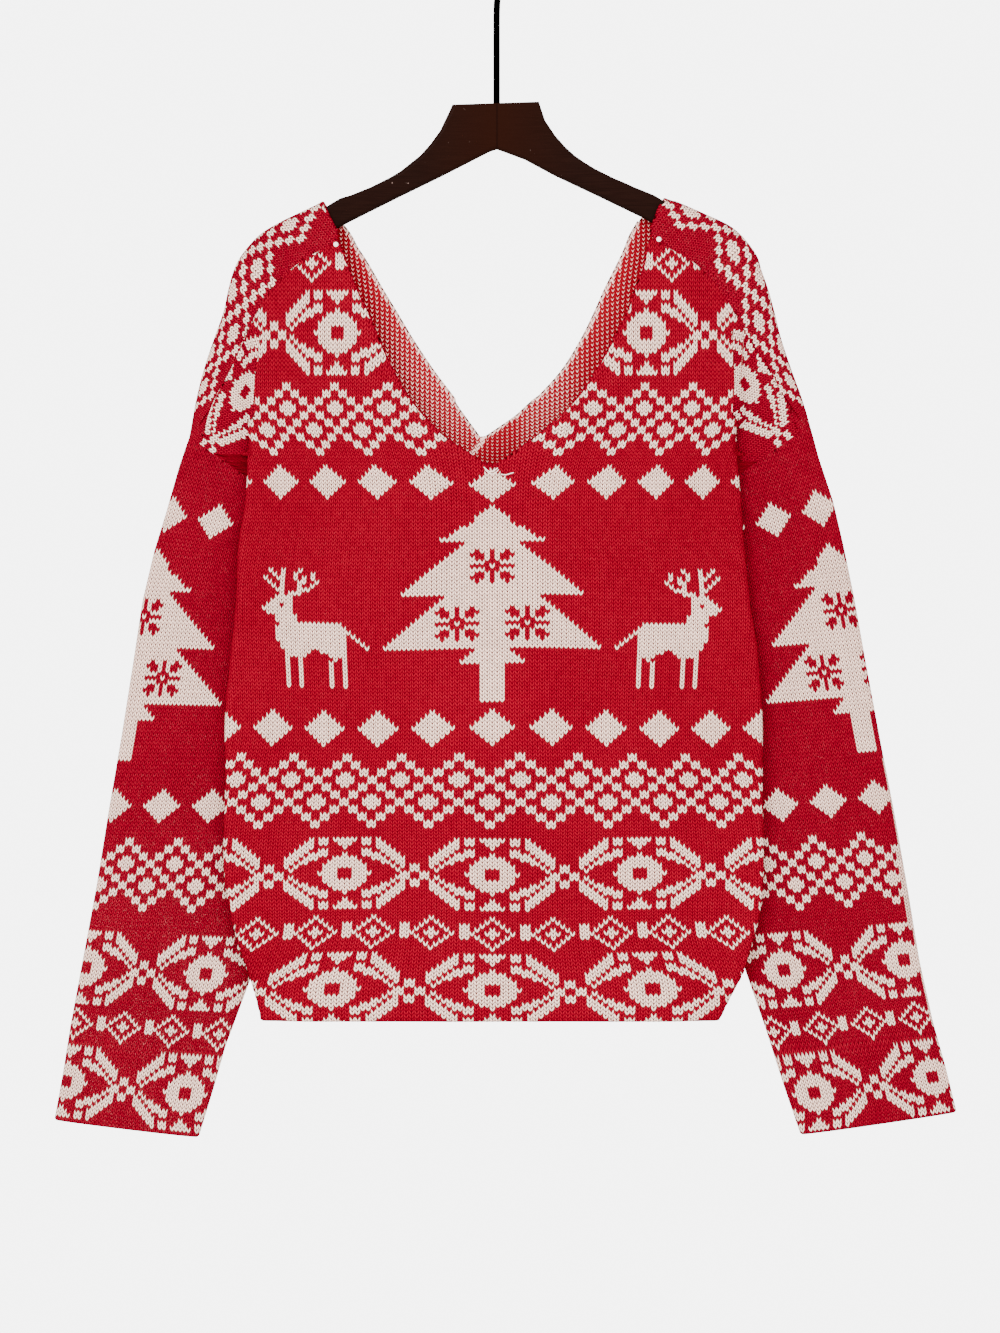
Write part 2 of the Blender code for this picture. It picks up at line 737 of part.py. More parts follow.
def hook_path():
    """The hook's centre line: a straight rod, a short swan neck and most of a circle."""
    path = [(0.0, ROD_FOOT_Z), (0.0, -80 * MM), (0.5 * MM, -62 * MM), (4.5 * MM, -53 * MM)]
    path.append((12 * MM, -44.5 * MM))
    steps = 16
    for k in range(steps + 1):
        angle = math.radians(mix(-38, 205, k / steps))
        path.append((CROOK_RADIUS * math.cos(angle), -20 * MM + CROOK_RADIUS * math.sin(angle)))
    return path


def hook(collection):
    """The black steel rod with its open hook."""
    curve = bpy.data.curves.new("hook", "CURVE")
    curve.dimensions = "3D"
    curve.bevel_depth = WIRE / 2
    curve.bevel_resolution = 2
    curve.use_fill_caps = True
    path = hook_path()
    spline = curve.splines.new("POLY")
    spline.points.add(len(path) - 1)
    for place, (x, z) in zip(spline.points, path):
        place.co = (x, 0, z, 1)
    curve.materials.append(finish("black_steel", (0.004, 0.004, 0.004), 0.3, 1.0))
    collection.objects.link(bpy.data.objects.new("hook", curve))


def main():
    for thing in list(bpy.data.objects):
        bpy.data.objects.remove(thing)
    collection = bpy.data.collections.new("christmas_sweater_on_hanger")
    bpy.context.scene.collection.children.link(collection)
    body_red = finish("red_jacquard_knit", (0.52, 0.001, 0.014), 0.85)
    sleeve_red = finish("red_jacquard_knit_sleeve", (0.47, 0.001, 0.016), 0.85)
    found = panels()
    directions = shared_normals(found)
    for name, (points, faces) in found.items():
        red = sleeve_red if "sleeve" in name else body_red
        knit_wall(name, points, faces, directions, collection, red)
    hanger(collection)
    hook(collection)


main()
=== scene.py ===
import math

import bmesh
import bpy
import numpy as np
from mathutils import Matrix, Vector


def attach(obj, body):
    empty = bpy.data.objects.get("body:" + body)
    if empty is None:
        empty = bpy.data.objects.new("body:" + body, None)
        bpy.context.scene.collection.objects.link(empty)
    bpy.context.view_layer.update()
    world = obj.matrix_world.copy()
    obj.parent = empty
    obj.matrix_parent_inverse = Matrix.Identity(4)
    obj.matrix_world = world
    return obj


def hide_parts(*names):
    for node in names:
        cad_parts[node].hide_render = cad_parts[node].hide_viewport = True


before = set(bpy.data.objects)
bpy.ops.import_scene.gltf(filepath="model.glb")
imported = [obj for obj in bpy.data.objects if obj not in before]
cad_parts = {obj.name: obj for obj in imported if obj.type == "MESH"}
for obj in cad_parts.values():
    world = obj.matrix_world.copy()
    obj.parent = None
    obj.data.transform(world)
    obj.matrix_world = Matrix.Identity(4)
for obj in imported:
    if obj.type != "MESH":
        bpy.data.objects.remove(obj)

for spare in ("Cube", "Light", "Camera"):
    if spare in bpy.data.objects:
        bpy.data.objects.remove(bpy.data.objects[spare])
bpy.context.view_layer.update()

# The room: a plain pale floor a little below the cuffs, a near-white world behind, and soft light from large
# lamps.
# The camera looks level at the front from 3 m, and its frame is 0.760 m wide at the cloth.
MM = 0.001
FLOOR_Z = -1.35
FRAME_WIDTH, CAMERA_AWAY, CLOTH_FRONT = 0.760, 3.0, 0.017
WORLD_LIGHT, WORLD_SEEN = 2.2, 6.0


def linear(code):
    """An sRGB hex colour as linear red, green, blue and alpha."""
    parts = [int(code[k:k + 2], 16) / 255 for k in (1, 3, 5)]
    return [c / 12.92 if c <= 0.04045 else ((c + 0.055) / 1.055) ** 2.4 for c in parts] + [1.0]


def new_material(name, **sockets):
    """A principled material with these sockets set, its node tree and its shader."""
    material = bpy.data.materials.new(name)
    material.use_nodes = True
    shader = material.node_tree.nodes["Principled BSDF"]
    for key, value in sockets.items():
        shader.inputs[key.replace("_", " ")].default_value = value
    return material, material.node_tree, shader


def add(tree, kind, inputs=(), **settings):
    """One more node: its settings by name, and each input a value or another node's output."""
    node = tree.nodes.new(kind)
    for key, value in settings.items():
        setattr(node, key, value)
    for key, value in dict(inputs).items():
        if isinstance(value, bpy.types.NodeSocket):
            tree.links.new(value, node.inputs[key])
        else:
            node.inputs[key].default_value = value
    return node


def remap(tree, value, low=0.0, high=1.0, start=0.0, end=1.0):
    """The span from low to high laid on the span from start to end, and level beyond."""
    return add(tree, "ShaderNodeMapRange", {0: value, 1: low, 2: high, 3: start, 4: end}).outputs[0]


def new_object(name, shape, material):
    """An object at the origin that shows this bmesh, mesh or curve in this material."""
    if isinstance(shape, bmesh.types.BMesh):
        made, shape = shape, bpy.data.meshes.new(name)
        made.to_mesh(shape)
        made.free()
    shape.materials.append(material)
    thing = bpy.data.objects.new(name, shape)
    bpy.context.scene.collection.objects.link(thing)
    return thing


bm = bmesh.new()
bm.faces.new([bm.verts.new((x, y, FLOOR_Z)) for x, y in ((-3, -4), (3, -4), (3, 1.3), (-3, 1.3))])
paint = new_material("floor_paint", Base_Color=linear("#F2F2F0"), Roughness=0.9)[0]
new_object("floor", bm, paint)

# the world is brighter to the camera than as light, so that the background shows nearly white
world = bpy.data.worlds.new("soft_room")
world.use_nodes = True
backdrop = world.node_tree.nodes["Background"]
backdrop.inputs["Color"].default_value = (1.0, 1.0, 1.0, 1.0)
seen = add(world.node_tree, "ShaderNodeLightPath").outputs["Is Camera Ray"]
glow = remap(world.node_tree, seen, 0.0, 1.0, WORLD_LIGHT, WORLD_SEEN)
world.node_tree.links.new(glow, backdrop.inputs["Strength"])
bpy.context.scene.world = world

for lamp_name, place, size, power in (
    ("key_lamp", (-1.6, -2.4, 0.9), 1.6, 132),
    ("fill_lamp", (1.9, -2.6, -0.1), 2.0, 62),
    ("back_lamp", (0.6, 2.4, 0.8), 1.8, 42),
):
    lamp = bpy.data.lights.new(lamp_name, "AREA")
    lamp.size = size
    lamp.energy = power
    lamp_object = bpy.data.objects.new(lamp_name, lamp)
    lamp_object.location = place
    aim = Vector((0, 0, -0.55)) - Vector(place)
    lamp_object.rotation_euler = aim.to_track_quat("-Z", "Y").to_euler()
    bpy.context.scene.collection.objects.link(lamp_object)

camera = bpy.data.cameras.new("camera")
camera.sensor_fit = "HORIZONTAL"
camera.sensor_width = 36
camera.lens = camera.sensor_width * (CAMERA_AWAY - CLOTH_FRONT) / FRAME_WIDTH
camera_object = bpy.data.objects.new("camera", camera)
camera_object.location = (2.3 * MM, -CAMERA_AWAY, -574.5 * MM)
camera_object.rotation_euler = (math.radians(90), 0, 0)
bpy.context.scene.collection.objects.link(camera_object)
bpy.context.scene.camera = camera_object


# The hanger: a flat board of stained beech in two halves, glued at the neck block, shaped by a router to
# a rounded outline and given a satin varnish. Its arms curve down inside the shoulders.
SHOULDER_Z = -220 * MM
BOARD_THICKNESS, BOARD_ROUNDING = 13 * MM, 3.2 * MM
# each arm's outline, out from the rod and down from the shoulders' level in millimetres
BOARD = {
    "right": [
        (32, -76.8), (36.8, -62.4), (44.4, -51.0), (52, -42.4), (59.3, -35.7), (67, -30.4), (74.5, -25.8),
        (82, -22.0), (89.7, -18.2), (97, -15.2), (105, -11.5), (112.5, -8.5), (120, -5.4), (128, -0.6),
        (136, 4.9), (152, 15.2), (168, 24.8), (180, 34), (187, 44), (184, 52), (176, 53), (160, 44),
        (143, 31.5), (124, 18.5), (112.5, 11.8), (74.5, -6.5), (44, -20.9), (21.3, -33.1), (4.6, -39.3),
    ],
    "left": [
        (34, -74.6), (35.7, -70.8), (43.3, -54.8), (51, -44.2), (58.5, -35.8), (66, -29.8), (73.7, -23.7),
        (81.3, -19.1), (88.9, -15.3), (96.5, -11.5), (104, -8.5), (111.7, -5.4), (119.3, -3.2), (126, 0.6),
        (133, 5.2), (152, 16.5), (168, 25), (180, 34), (187, 44), (184, 52), (176, 53), (160, 45),
        (143, 33), (124, 20.5), (112, 14.1), (74, -4.9), (43, -20), (20.5, -31.5), (5.3, -39.3),
    ],
}

ring = BOARD["right"] + [(0, -41)] + [(-x, drop) for x, drop in reversed(BOARD["left"])]
bm = bmesh.new()
front_face = bm.faces.new([bm.verts.new((x * MM, -BOARD_THICKNESS / 2, SHOULDER_Z - drop * MM))
                           for x, drop in ring])
grown = bmesh.ops.extrude_face_region(bm, geom=[front_face])
moved = [v for v in grown["geom"] if isinstance(v, bmesh.types.BMVert)]
bmesh.ops.translate(bm, verts=moved, vec=(0, BOARD_THICKNESS, 0))
bmesh.ops.recalc_face_normals(bm, faces=bm.faces)
outline = [e for e in bm.edges if abs(e.verts[0].co.y - e.verts[1].co.y) < 1e-6]
bmesh.ops.bevel(bm, geom=outline, offset=BOARD_ROUNDING, segments=4, profile=0.5, affect="EDGES",
                material=-1, clamp_overlap=True)
for face in bm.faces:
    face.smooth = True


def maths(tree, operation, *values, **settings):
    return add(tree, "ShaderNodeMath", enumerate(values), operation=operation, **settings).outputs[0]


def blend(tree, share, first, second):
    """Two colours, each a hex code or an output, mixed by the second one's share."""
    first, second = (linear(c) if isinstance(c, str) else c for c in (first, second))
    return add(tree, "ShaderNodeMix", {0: share, 6: first, 7: second}, data_type="RGBA").outputs[2]


def noise(tree, where, scale, detail):
    return add(tree, "ShaderNodeTexNoise", {"Vector": where, "Scale": scale, "Detail": detail}).outputs[0]


def finish_material(tree, shader, colour, height=None, strength=0.0, distance=MM):
    """Give the shader its colour, and a bump from this height."""
    tree.links.new(colour, shader.inputs["Base Color"])
    if height:
        bump = add(tree, "ShaderNodeBump", {"Height": height, "Strength": strength, "Distance": distance})
        tree.links.new(bump.outputs[0], shader.inputs["Normal"])


# Stained beech under satin varnish: near-black brown with a long faint grain, a fine dark line where the two
# halves meet at the neck block, and a few pale rubbed marks. The neck block is redder: a painted reddish
# reflection.
varnish, tree, shader = new_material("stained_beech_satin_varnish", Roughness=0.5, Coat_Weight=0.01,
                                     Coat_Roughness=0.16, Specular_IOR_Level=0.0)
where = add(tree, "ShaderNodeTexCoord").outputs["Object"]
stretch = add(tree, "ShaderNodeMapping", {"Vector": where, "Scale": (9, 60, 170)}).outputs[0]
grain = noise(tree, stretch, 5.0, 6.0)
brown = blend(tree, grain, "#0C0504", "#1D0E0A")
off = maths(tree, "ABSOLUTE", add(tree, "ShaderNodeSeparateXYZ", {0: where}).outputs[0])
# painted reddish reflection on the neck block, fading out along the arms
brown = blend(tree, remap(tree, off, 0.006, 0.060, 0.7, 0.0), brown, "#1D0A05")
spots = noise(tree, where, 260.0, 3.0)
brown = blend(tree, remap(tree, spots, 0.74, 0.79, 0.0, 0.5), brown, "#A58A80")
brown = blend(tree, remap(tree, off, 0.0003, 0.0010, 0.45, 0.0), brown, "#080303")
finish_material(tree, shader, brown, grain, 0.12)
hanger = new_object("hanger_board", bm, varnish)
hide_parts("hanger")
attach(hanger, "root")


# The hook: a long straight rod of steel wire, screwed into the neck block and bent cold at its end to an
# open crook. Its black lacquer is smooth and all but matt.
WIRE = 5.1 * MM
CROOK_INSIDE = 20 * MM


def bent_wire(name, lines, thickness, roundness):
    """A curve of round wires or threads, each bent smoothly along a line of points."""
    curve = bpy.data.curves.new(name, "CURVE")
    curve.dimensions = "3D"
    curve.bevel_depth, curve.bevel_resolution = thickness / 2, roundness
    for line in lines:
        spline = curve.splines.new("NURBS")
        spline.points.add(len(line) - 1)
        for knot, point in zip(spline.points, line):
            knot.co = (*point, 1)
        spline.use_endpoint_u = True
        spline.order_u, spline.resolution_u = 3, 6
    return curve


path = [(-0.3 * MM, SHOULDER_Z + 73.3 * MM), (-0.3 * MM, -95 * MM), (-0.3 * MM, -74 * MM),
        (0.3 * MM, -62 * MM), (4.5 * MM, -53 * MM), (12 * MM, -44.5 * MM)]
for k in range(25):
    turn = math.radians(-38 + 243 * k / 24)
    reach = CROOK_INSIDE + WIRE / 2
    path.append((reach * math.cos(turn), -CROOK_INSIDE + reach * math.sin(turn)))
wire = bent_wire("hook_wire", [[(x, 0, z) for x, z in path]], WIRE, 6)
wire.use_fill_caps = True
lacquer, tree, shader = new_material("black_lacquered_steel", Roughness=0.6, Specular_IOR_Level=0.0)
dust = noise(tree, add(tree, "ShaderNodeTexCoord").outputs["Object"], 900.0, 2.0)
finish_material(tree, shader, blend(tree, dust, "#000000", "#020202"))
hook = new_object("hook_wire", wire, lacquer)
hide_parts("hook")
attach(hook, "root")


# The knit: a double-bed jacquard in red and ivory wool, one fabric 2.5 mm thick. Its face shows columns
# of V stitches in the colours of the chart. Its reverse shows both yarns in turn, as birdseye specks.
# Every table below is in millimetres: drop runs down from the shoulder, across out from the middle.
WALL = 2.5 * MM
MIDDLE = -5.5
DROPS = np.arange(-60.0, 760.0, 1.0)
SIGN = {"left": -1, "right": 1}


def spread_curve(xs, ys, at):
    """A smooth curve through the points (xs, ys), level beyond them, read at these places."""
    xs, ys = np.array(xs, float), np.array(ys, float)
    at = np.clip(at, xs[0], xs[-1])
    i = np.clip(np.searchsorted(xs, at, side="right") - 1, 0, len(xs) - 2)
    before, after = np.maximum(np.arange(len(xs)) - 1, 0), np.minimum(np.arange(len(xs)) + 1, len(xs) - 1)
    slopes = (ys[after] - ys[before]) / (xs[after] - xs[before])
    width = xs[i + 1] - xs[i]
    t = (at - xs[i]) / width
    rise = ys[i] * (1 + 2 * t) * (1 - t) ** 2 + ys[i + 1] * t * t * (3 - 2 * t)
    return rise + width * t * (1 - t) * (slopes[i] * (1 - t) - slopes[i + 1] * t)


def ease(low, high, value):
    t = np.clip((value - low) / (high - low), 0.0, 1.0)
    return t * t * (3 - 2 * t)


def mix(a, b, t):
    return a + (b - a) * t


def bluntness(t, power=2.2):
    """A rounded end: 0 at t = 0, and level from t = 1."""
    return (1 - (1 - np.clip(t, 0.0, 1.0)) ** power) ** (1 / power)


def columns_of(rows):
    """Each column of a table that starts with the drop, as values at every whole drop."""
    table = np.array(rows, float)
    return [spread_curve(table[:, 0], table[:, k], DROPS) for k in range(1, table.shape[1])]


def at_drop(values, drop):
    return np.interp(drop, DROPS, values)


# drop, then half-widths: the shoulder's edge, the forward seam, the front neck and the back neck
SHOULDERS = {
    "left": columns_of([
        (0, 133, 133, 133, 133), (3, 138, 132, 132, 131), (10, 153, 129, 129, 125), (18, 169, 125, 125, 117),
        (25, 180, 122, 122, 112), (33, 188, 127, 120, 108), (42, 195, 143, 117, 102), (52, 200, 157, 113, 96),
        (66, 204, 171, 108, 88), (84, 208, 182, 99, 77), (104, 215, 192, 91, 65), (128, 223, 203, 80, 49),
        (152, 229, 216, 66, 31), (180, 234, 225, 40, 12), (202, 238, 230, 8, 6),
    ]),
    "right": columns_of([
        (0, 136, 130, 130, 128), (3, 143, 125, 125, 119), (10, 159, 122, 122, 111), (18, 176, 119, 119, 106),
        (25, 185, 118, 118, 102), (33, 192, 126, 116, 99), (42, 198, 143, 114, 95), (52, 201, 156, 112, 90),
        (66, 206, 169, 106, 83), (84, 211, 180, 100, 75), (104, 216, 192, 90, 65), (128, 224, 208, 77, 50),
        (150, 232, 219, 62, 30), (171, 238, 229, 41, 8), (202, 243, 235, 0, -4),
    ]),
}
# drop, then the front's fold on the left and right, how far it turns back behind, and the side seam
SIDES = dict(zip(("left", "right", "turned", "seam"), columns_of([
    (60, 183, 184, -6, 130), (100, 184, 183, -6, 130), (140, 187, 183, -6, 130), (180, 188, 182, -6, 130),
    (195, 189, 182, 6, 129), (208, 189, 183, 26, 127), (233, 191, 185, 54, 120), (262, 196, 187, 79, 116),
    (280, 197, 189, 80, 108), (307, 198, 192, 80, 104), (339, 201, 197, 80, 107), (392, 206, 201, 80, 118),
    (443, 206, 201, 75, 126), (481, 207, 202, 70, 132), (512, 207, 202, 65, 138), (531, 204, 201, 60, 141),
    (548, 201, 198, 55, 143), (563, 197, 194, 50, 145), (587, 189, 187, 40, 147), (607, 183, 177, 30, 148),
    (630, 178, 166, 20, 148),
])))
# drop, then how far the front and the back lie from the hanger's middle, and how far in an edge rounds
FRONT_DEPTH, BACK_DEPTH, ROUND = columns_of([
    (0, 8.6, 8.6, 15), (40, 8.8, 9.0, 15), (70, 10.5, 10.5, 16), (120, 13.5, 12.5, 20),
    (180, 15.5, 13.5, 22), (260, 17.0, 14.0, 22), (450, 17.5, 14.5, 22), (600, 15.5, 12.0, 22),
    (630, 15.0, 11.5, 22),
])
# the sleeve's rings, from the armhole to the cuff: outer fold, inner fold, half depth and middle
SLEEVES = {
    "left": [
        (234, 180, 116, 262), (242, 202, 123, 281), (252, 237, 129, 300), (261, 266, 133, 322),
        (270, 304, 137, 348), (277, 350, 141, 386), (286, 407, 148, 436), (296, 465, 158, 488),
        (305, 521, 171, 540), (315, 575, 189, 591), (325, 629, 209, 645), (331, 667, 218, 677),
        (337, 700, 229, 713),
    ],
    "right": [
        (238, 171, 120, 253), (245, 195, 127, 272), (256, 228, 133, 292), (264, 262, 137, 315),
        (272, 301, 140, 342), (281, 351, 144, 380), (292, 410, 151, 430), (303, 467, 161, 482),
        (313, 524, 175, 534), (322, 579, 190, 583), (332, 625, 207, 632), (342, 661, 220, 673),
        (350, 694, 233, 711),
    ],
}
RING_DEPTHS = [
    (7.5, 3.0), (8.0, 3.3), (8.5, 3.8), (8.8, 4.2), (9.0, 4.5), (9.0, 4.5), (9.0, 4.5), (9.0, 4.5),
    (9.0, 4.5), (8.8, 4.0), (8.5, 3.0), (8.0, 2.5), (7.5, 2.0),
]
SLEEVES = {side: np.hstack((rings, RING_DEPTHS)) for side, rings in SLEEVES.items()}
TURN, FOLD_START, HEM = 5.5, 3.5, 625


def layer_depth(side, across, drop, layer):
    """Depth of the front (-1) or back (1) of the body above the underarm."""
    if layer < 0:
        fold = at_drop(SIDES[side], drop)
        level = at_drop(FRONT_DEPTH, drop)
        level = level - 2 * TURN * ease(50, 185, drop) * ease(fold - FOLD_START, fold + 6.5, across)
    else:
        level = at_drop(BACK_DEPTH, drop)
    reach = at_drop(SHOULDERS[side][0], drop) - across
    return layer * level * bluntness(reach / at_drop(ROUND, drop))


def armhole(side, share, layer):
    """Across, depth and drop of the armhole, from the shoulder's edge (0) to the underarm (1)."""
    out_across, out_drop, in_across, in_drop, half_depth, middle = SLEEVES[side][0]
    spread = (1 - abs(2 * share - 1) ** 3.5) ** (1 / 3.5)
    between = mix(-1.0, middle, ease(0, 0.25, share))
    return (mix(out_across, in_across, share), between + layer * half_depth * spread,
            mix(out_drop, in_drop, share))


def armhole_share(side, drop):
    ring = SLEEVES[side][0]
    return np.clip((drop - ring[1]) / (ring[3] - ring[1]), 0, 1)


def arm_line(side, across):
    """The drop at which the armhole passes, this far from the middle."""
    out_across, out_drop, in_across, in_drop = SLEEVES[side][0][:4]
    return out_drop + (out_across - across) * (in_drop - out_drop) / (out_across - in_across)


def off_arm(drop):
    """0 where the body lies before the sleeve, and 1 at the hem, where it hangs free."""
    return ease(575, HEM, drop)


def back_below(side, across, drop):
    """The back's depth below the underarm, where it lies in front of the sleeves."""
    rings = SLEEVES[side]
    inner = np.interp(drop, rings[:, 3], rings[:, 2])
    start = np.minimum(inner - 7, at_drop(SIDES["seam"], drop) + 60)
    free = off_arm(drop)
    at_side = mix(-10.5, -1.0, free)
    return mix(at_drop(BACK_DEPTH, drop), at_side, ease(0.1, 1.0, across / mix(start, 150, free)))


def side_seam(side, drop):
    """Across and depth of the side seam, which curls back to the underarm."""
    ring = SLEEVES[side][0]
    curl = 1 - ease(0, 45, drop - ring[3])
    across = at_drop(SIDES["seam"], drop) + (ring[2] - 116) * curl
    return across, mix(back_below(side, across, drop), ring[5], curl)


# The chart, by column and row of stitches. These are traditional bands: outlined diamonds, the double
# leaf with its flower, the lattice and solid diamonds, with a plain stepped fir and a small deer.
LEAF = (
    "###.##.#........",
    "##..##.##.......",
    "#......###......",
    "....##..###.....",
    "#...####.###....",
    "###...###.###...",
    "####....##.##...",
    "#####.....#.#...",
    "..###......#....",
    "..####..........",
)
DEER = (
    "...............#...#..#...",
    "............#...#..#.#....",
    "............#.#.#..##..#..",
    "...........#..##...#..#...",
    "............#..#...#.#....",
    ".............###...##.....",
    "...............###.#......",
    ".................####.....",
    ".................#####....",
    ".................##.###...",
    ".................#######..",
    ".................######...",
    "................#####.....",
    "................#####.....",
    "......##############......",
    ".....################.....",
    "....#################.....",
    "...#.################.....",
    "..#..################.....",
    ".#...###############......",
    "#....###############......",
    ".....######..######.......",
    ".....####.....#####.......",
    ".....#.#.......#..#.......",
) + (".....#..#......#..#.......",) * 7
# each tier of the fir: its first and last row, and its half-widths there
TIERS = ((0, 4, 0, 3), (4, 10, 3, 10), (10, 24, 5, 18), (24, 38, 9, 22), (38, 42, 3, 6), (38, 52, 2, 2))
STAR = {(0, 1), (0, 2), (0, 3), (0, 4), (1, 0), (2, 0), (3, 0), (4, 0), (1, 1), (2, 2), (2, 3), (3, 2),
        (3, 3), (3, 4), (4, 3)}


def drawn(strings, column, row):
    """Whether a chart, given as strings, has a stitch at these columns and rows."""
    chart = np.array([[c == "#" for c in line] for line in strings])
    inside = (column >= 0) & (column < chart.shape[1]) & (row >= 0) & (row < chart.shape[0])
    return inside & chart[np.clip(row, 0, chart.shape[0] - 1), np.clip(column, 0, chart.shape[1] - 1)]


def outlined_diamonds(u, row):
    dx, dy = np.abs((u + 6) % 12 - 6), np.abs(row - 4)
    bars = ((u % 12 == 6) | (u % 12 == 7)) & (row >= 2) & (row <= 5)
    return (row >= 0) & (row < 9) & ((dx + dy == 4) | (dx + dy <= 1) | bars)


def leaves(u, row):
    dx, dy = np.abs((u + 15) % 30 - 15), np.where(row > 9, 18 - row, row)
    column = u % 30
    knot = (np.isin(column, (14, 15)) & np.isin(row, (7, 8, 11, 12))) | (
        np.isin(column, (12, 13, 16, 17)) & np.isin(row, (9, 10)))
    return (row >= 0) & (row < 19) & (drawn(LEAF, dx, dy) | knot)


def lattice(u, row):
    block, high = ((u + 7) // 2) % 6, row // 2
    a = np.minimum(block, 6 - block)
    lines = (high == a) | (high == 6 - a) | (high == 6 + a)
    flowers = False
    for shift, first in ((8, 5), (2, 11)):
        x, y = (u + shift) % 12, row - first
        flowers = flowers | ((x < 4) & (y >= 0) & (y < 4) & (((x > 0) & (x < 3)) | ((y > 0) & (y < 3))))
    return (row >= 0) & (row < 20) & (lines | flowers)


def solid_diamonds(u, row):
    dx, dy = np.abs((u + 6) % 12 - 6), np.abs(row - 4)
    return dx + dy <= 4


def fir(u, row):
    found = False
    for first, last, narrow, wide in TIERS:
        reach = narrow + (wide - narrow) * (row - first) / max(last - 1 - first, 1)
        found = found | ((row >= first) & (row < last) & (np.abs(u) <= np.floor(reach + 0.3)))
    for x, y in ((0, 16), (-7, 31), (7, 31)):
        star = np.isin(np.abs(u - x) * 10 + np.abs(row - y), [i * 10 + j for i, j in STAR])
        found = found & ~((np.abs(u - x) < 5) & (np.abs(row - y) < 5) & star)
    return found


def deer(u, row):
    return drawn(DEER, np.abs(u) - 26, row)


BODY_BANDS = (
    (-44, leaves), (-23, lattice), (0, outlined_diamonds), (11, leaves), (32, lattice), (55, solid_diamonds),
    (65, fir), (82, deer), (119, solid_diamonds), (130, lattice), (153, leaves), (174, outlined_diamonds),
    (184, leaves),
)
SLEEVE_BANDS = (
    (0, solid_diamonds), (13, fir), (72, solid_diamonds), (85, lattice), (111, leaves),
    (132, outlined_diamonds), (142, leaves),
)


def chart(bands, u, row):
    """True where the chart has ivory, at these columns and rows."""
    found = np.zeros(u.shape, bool)
    for first, band in bands:
        found |= band(u, row - first)
    return found


# Wool in both colours: matt and hairy, each stitch two plump legs, with painted shade in the slit between
# stitches and round the legs' edges.
# The legs are drawn from the stitch map, one unit for a stitch, so they keep the real gauge.
IVORY, IVORY_GAP_SHADE, PINK = "#FFD6C2", "#4A1210", "#F0948C"


def stitch_inputs(tree):
    """The stitch map's across and down, and the parts of the yarn map: ivory, level and pale hairs."""
    stitch = add(tree, "ShaderNodeUVMap", uv_map="stitch").outputs[0]
    across, down, _ = add(tree, "ShaderNodeSeparateXYZ", {0: stitch}).outputs
    yarn = add(tree, "ShaderNodeVertexColor", layer_name="yarn").outputs["Color"]
    return across, down, add(tree, "ShaderNodeSeparateColor", {0: yarn}).outputs


def centred(tree, value):
    """From -1 to 1 across each whole unit."""
    return remap(tree, maths(tree, "FRACT", value), 0.0, 1.0, -1.0, 1.0)


def yarn_material(name, red, red_gap_shade, hairs):
    """The face: plump legs in the chart's colour, with painted shade in the slit between stitches."""
    material, tree, shader = new_material(name, Roughness=0.95, Specular_IOR_Level=0.0)
    across, down, (ivory, level, pale) = stitch_inputs(tree)
    legs = []
    for at, power in ((maths(tree, "MULTIPLY", across, 2.0), 4.0), (down, 2.0)):
        away = maths(tree, "ABSOLUTE", centred(tree, at))
        legs.append(maths(tree, "SUBTRACT", 1.0, maths(tree, "POWER", away, power)))
    plump = maths(tree, "POWER", maths(tree, "MULTIPLY", *legs), 0.5)
    # painted shade in the hole between the two legs, where the next stitch comes through
    beside = maths(tree, "ABSOLUTE", centred(tree, across))
    above = maths(tree, "SUBTRACT", 1.0, maths(tree, "ABSOLUTE", centred(tree, down)))
    reach = [maths(tree, "POWER", maths(tree, "DIVIDE", *pair), 2.0)
             for pair in ((beside, 0.5), (above, 0.6))]
    hole_shade = remap(tree, maths(tree, "ADD", *reach), 0.3, 1.1, 0.1, 1.0)
    where = add(tree, "ShaderNodeTexCoord").outputs["Object"]
    fuzz = noise(tree, where, 1500.0, 3.0)
    lit = blend(tree, ivory, red, IVORY)
    dark = blend(tree, ivory, red_gap_shade, IVORY_GAP_SHADE)
    # the colour darkens towards each leg's edges and into the hole: painted shade on the round yarn
    body = blend(tree, maths(tree, "MULTIPLY", remap(tree, plump, 0.25, 0.88), hole_shade), dark, lit)
    flecks = maths(tree, "MULTIPLY", remap(tree, fuzz, 0.60, 0.72, 0.0, hairs), pale)
    drift = remap(tree, noise(tree, where, 14.0, 2.0), 0.3, 0.7, 0.95, 1.04)
    bright = maths(tree, "MULTIPLY", remap(tree, level, 0.0, 1.0, 0.9, 1.08), drift)
    final = add(tree, "ShaderNodeVectorMath", {0: blend(tree, flecks, body, PINK), "Scale": bright},
                operation="SCALE").outputs[0]
    finish_material(tree, shader, final, maths(tree, "MULTIPLY_ADD", fuzz, 0.25, plump), 0.9, 1.1 * MM)
    return material


def birdseye_material(name, red, pale):
    """The reverse: both yarns in turn, each a short bump, with more of the pale one where the map says."""
    material, tree, shader = new_material(name, Roughness=0.95, Specular_IOR_Level=0.0)
    across, down, (share, _, _) = stitch_inputs(tree)
    far, low = (maths(tree, "MULTIPLY", at, at) for at in (centred(tree, across), centred(tree, down)))
    away = maths(tree, "ADD", maths(tree, "MULTIPLY", far, 0.3), low)
    share = remap(tree, maths(tree, "SUBTRACT", share, away), -0.07, 0.07)
    height = maths(tree, "SUBTRACT", 1.0, away, use_clamp=True)
    finish_material(tree, shader, blend(tree, share, red, pale), height, 0.8)
    return material


# the second red of each face yarn is the painted shade in the gaps between stitches
face_yarn = yarn_material("wool_jacquard_face", "#83001A", "#580010", 0.3)
reverse_yarn = birdseye_material("wool_jacquard_reverse", "#820014", "#FFC4B8")
sleeve_yarn = yarn_material("wool_jacquard_sleeve", "#7C001A", "#50000E", 0.45)


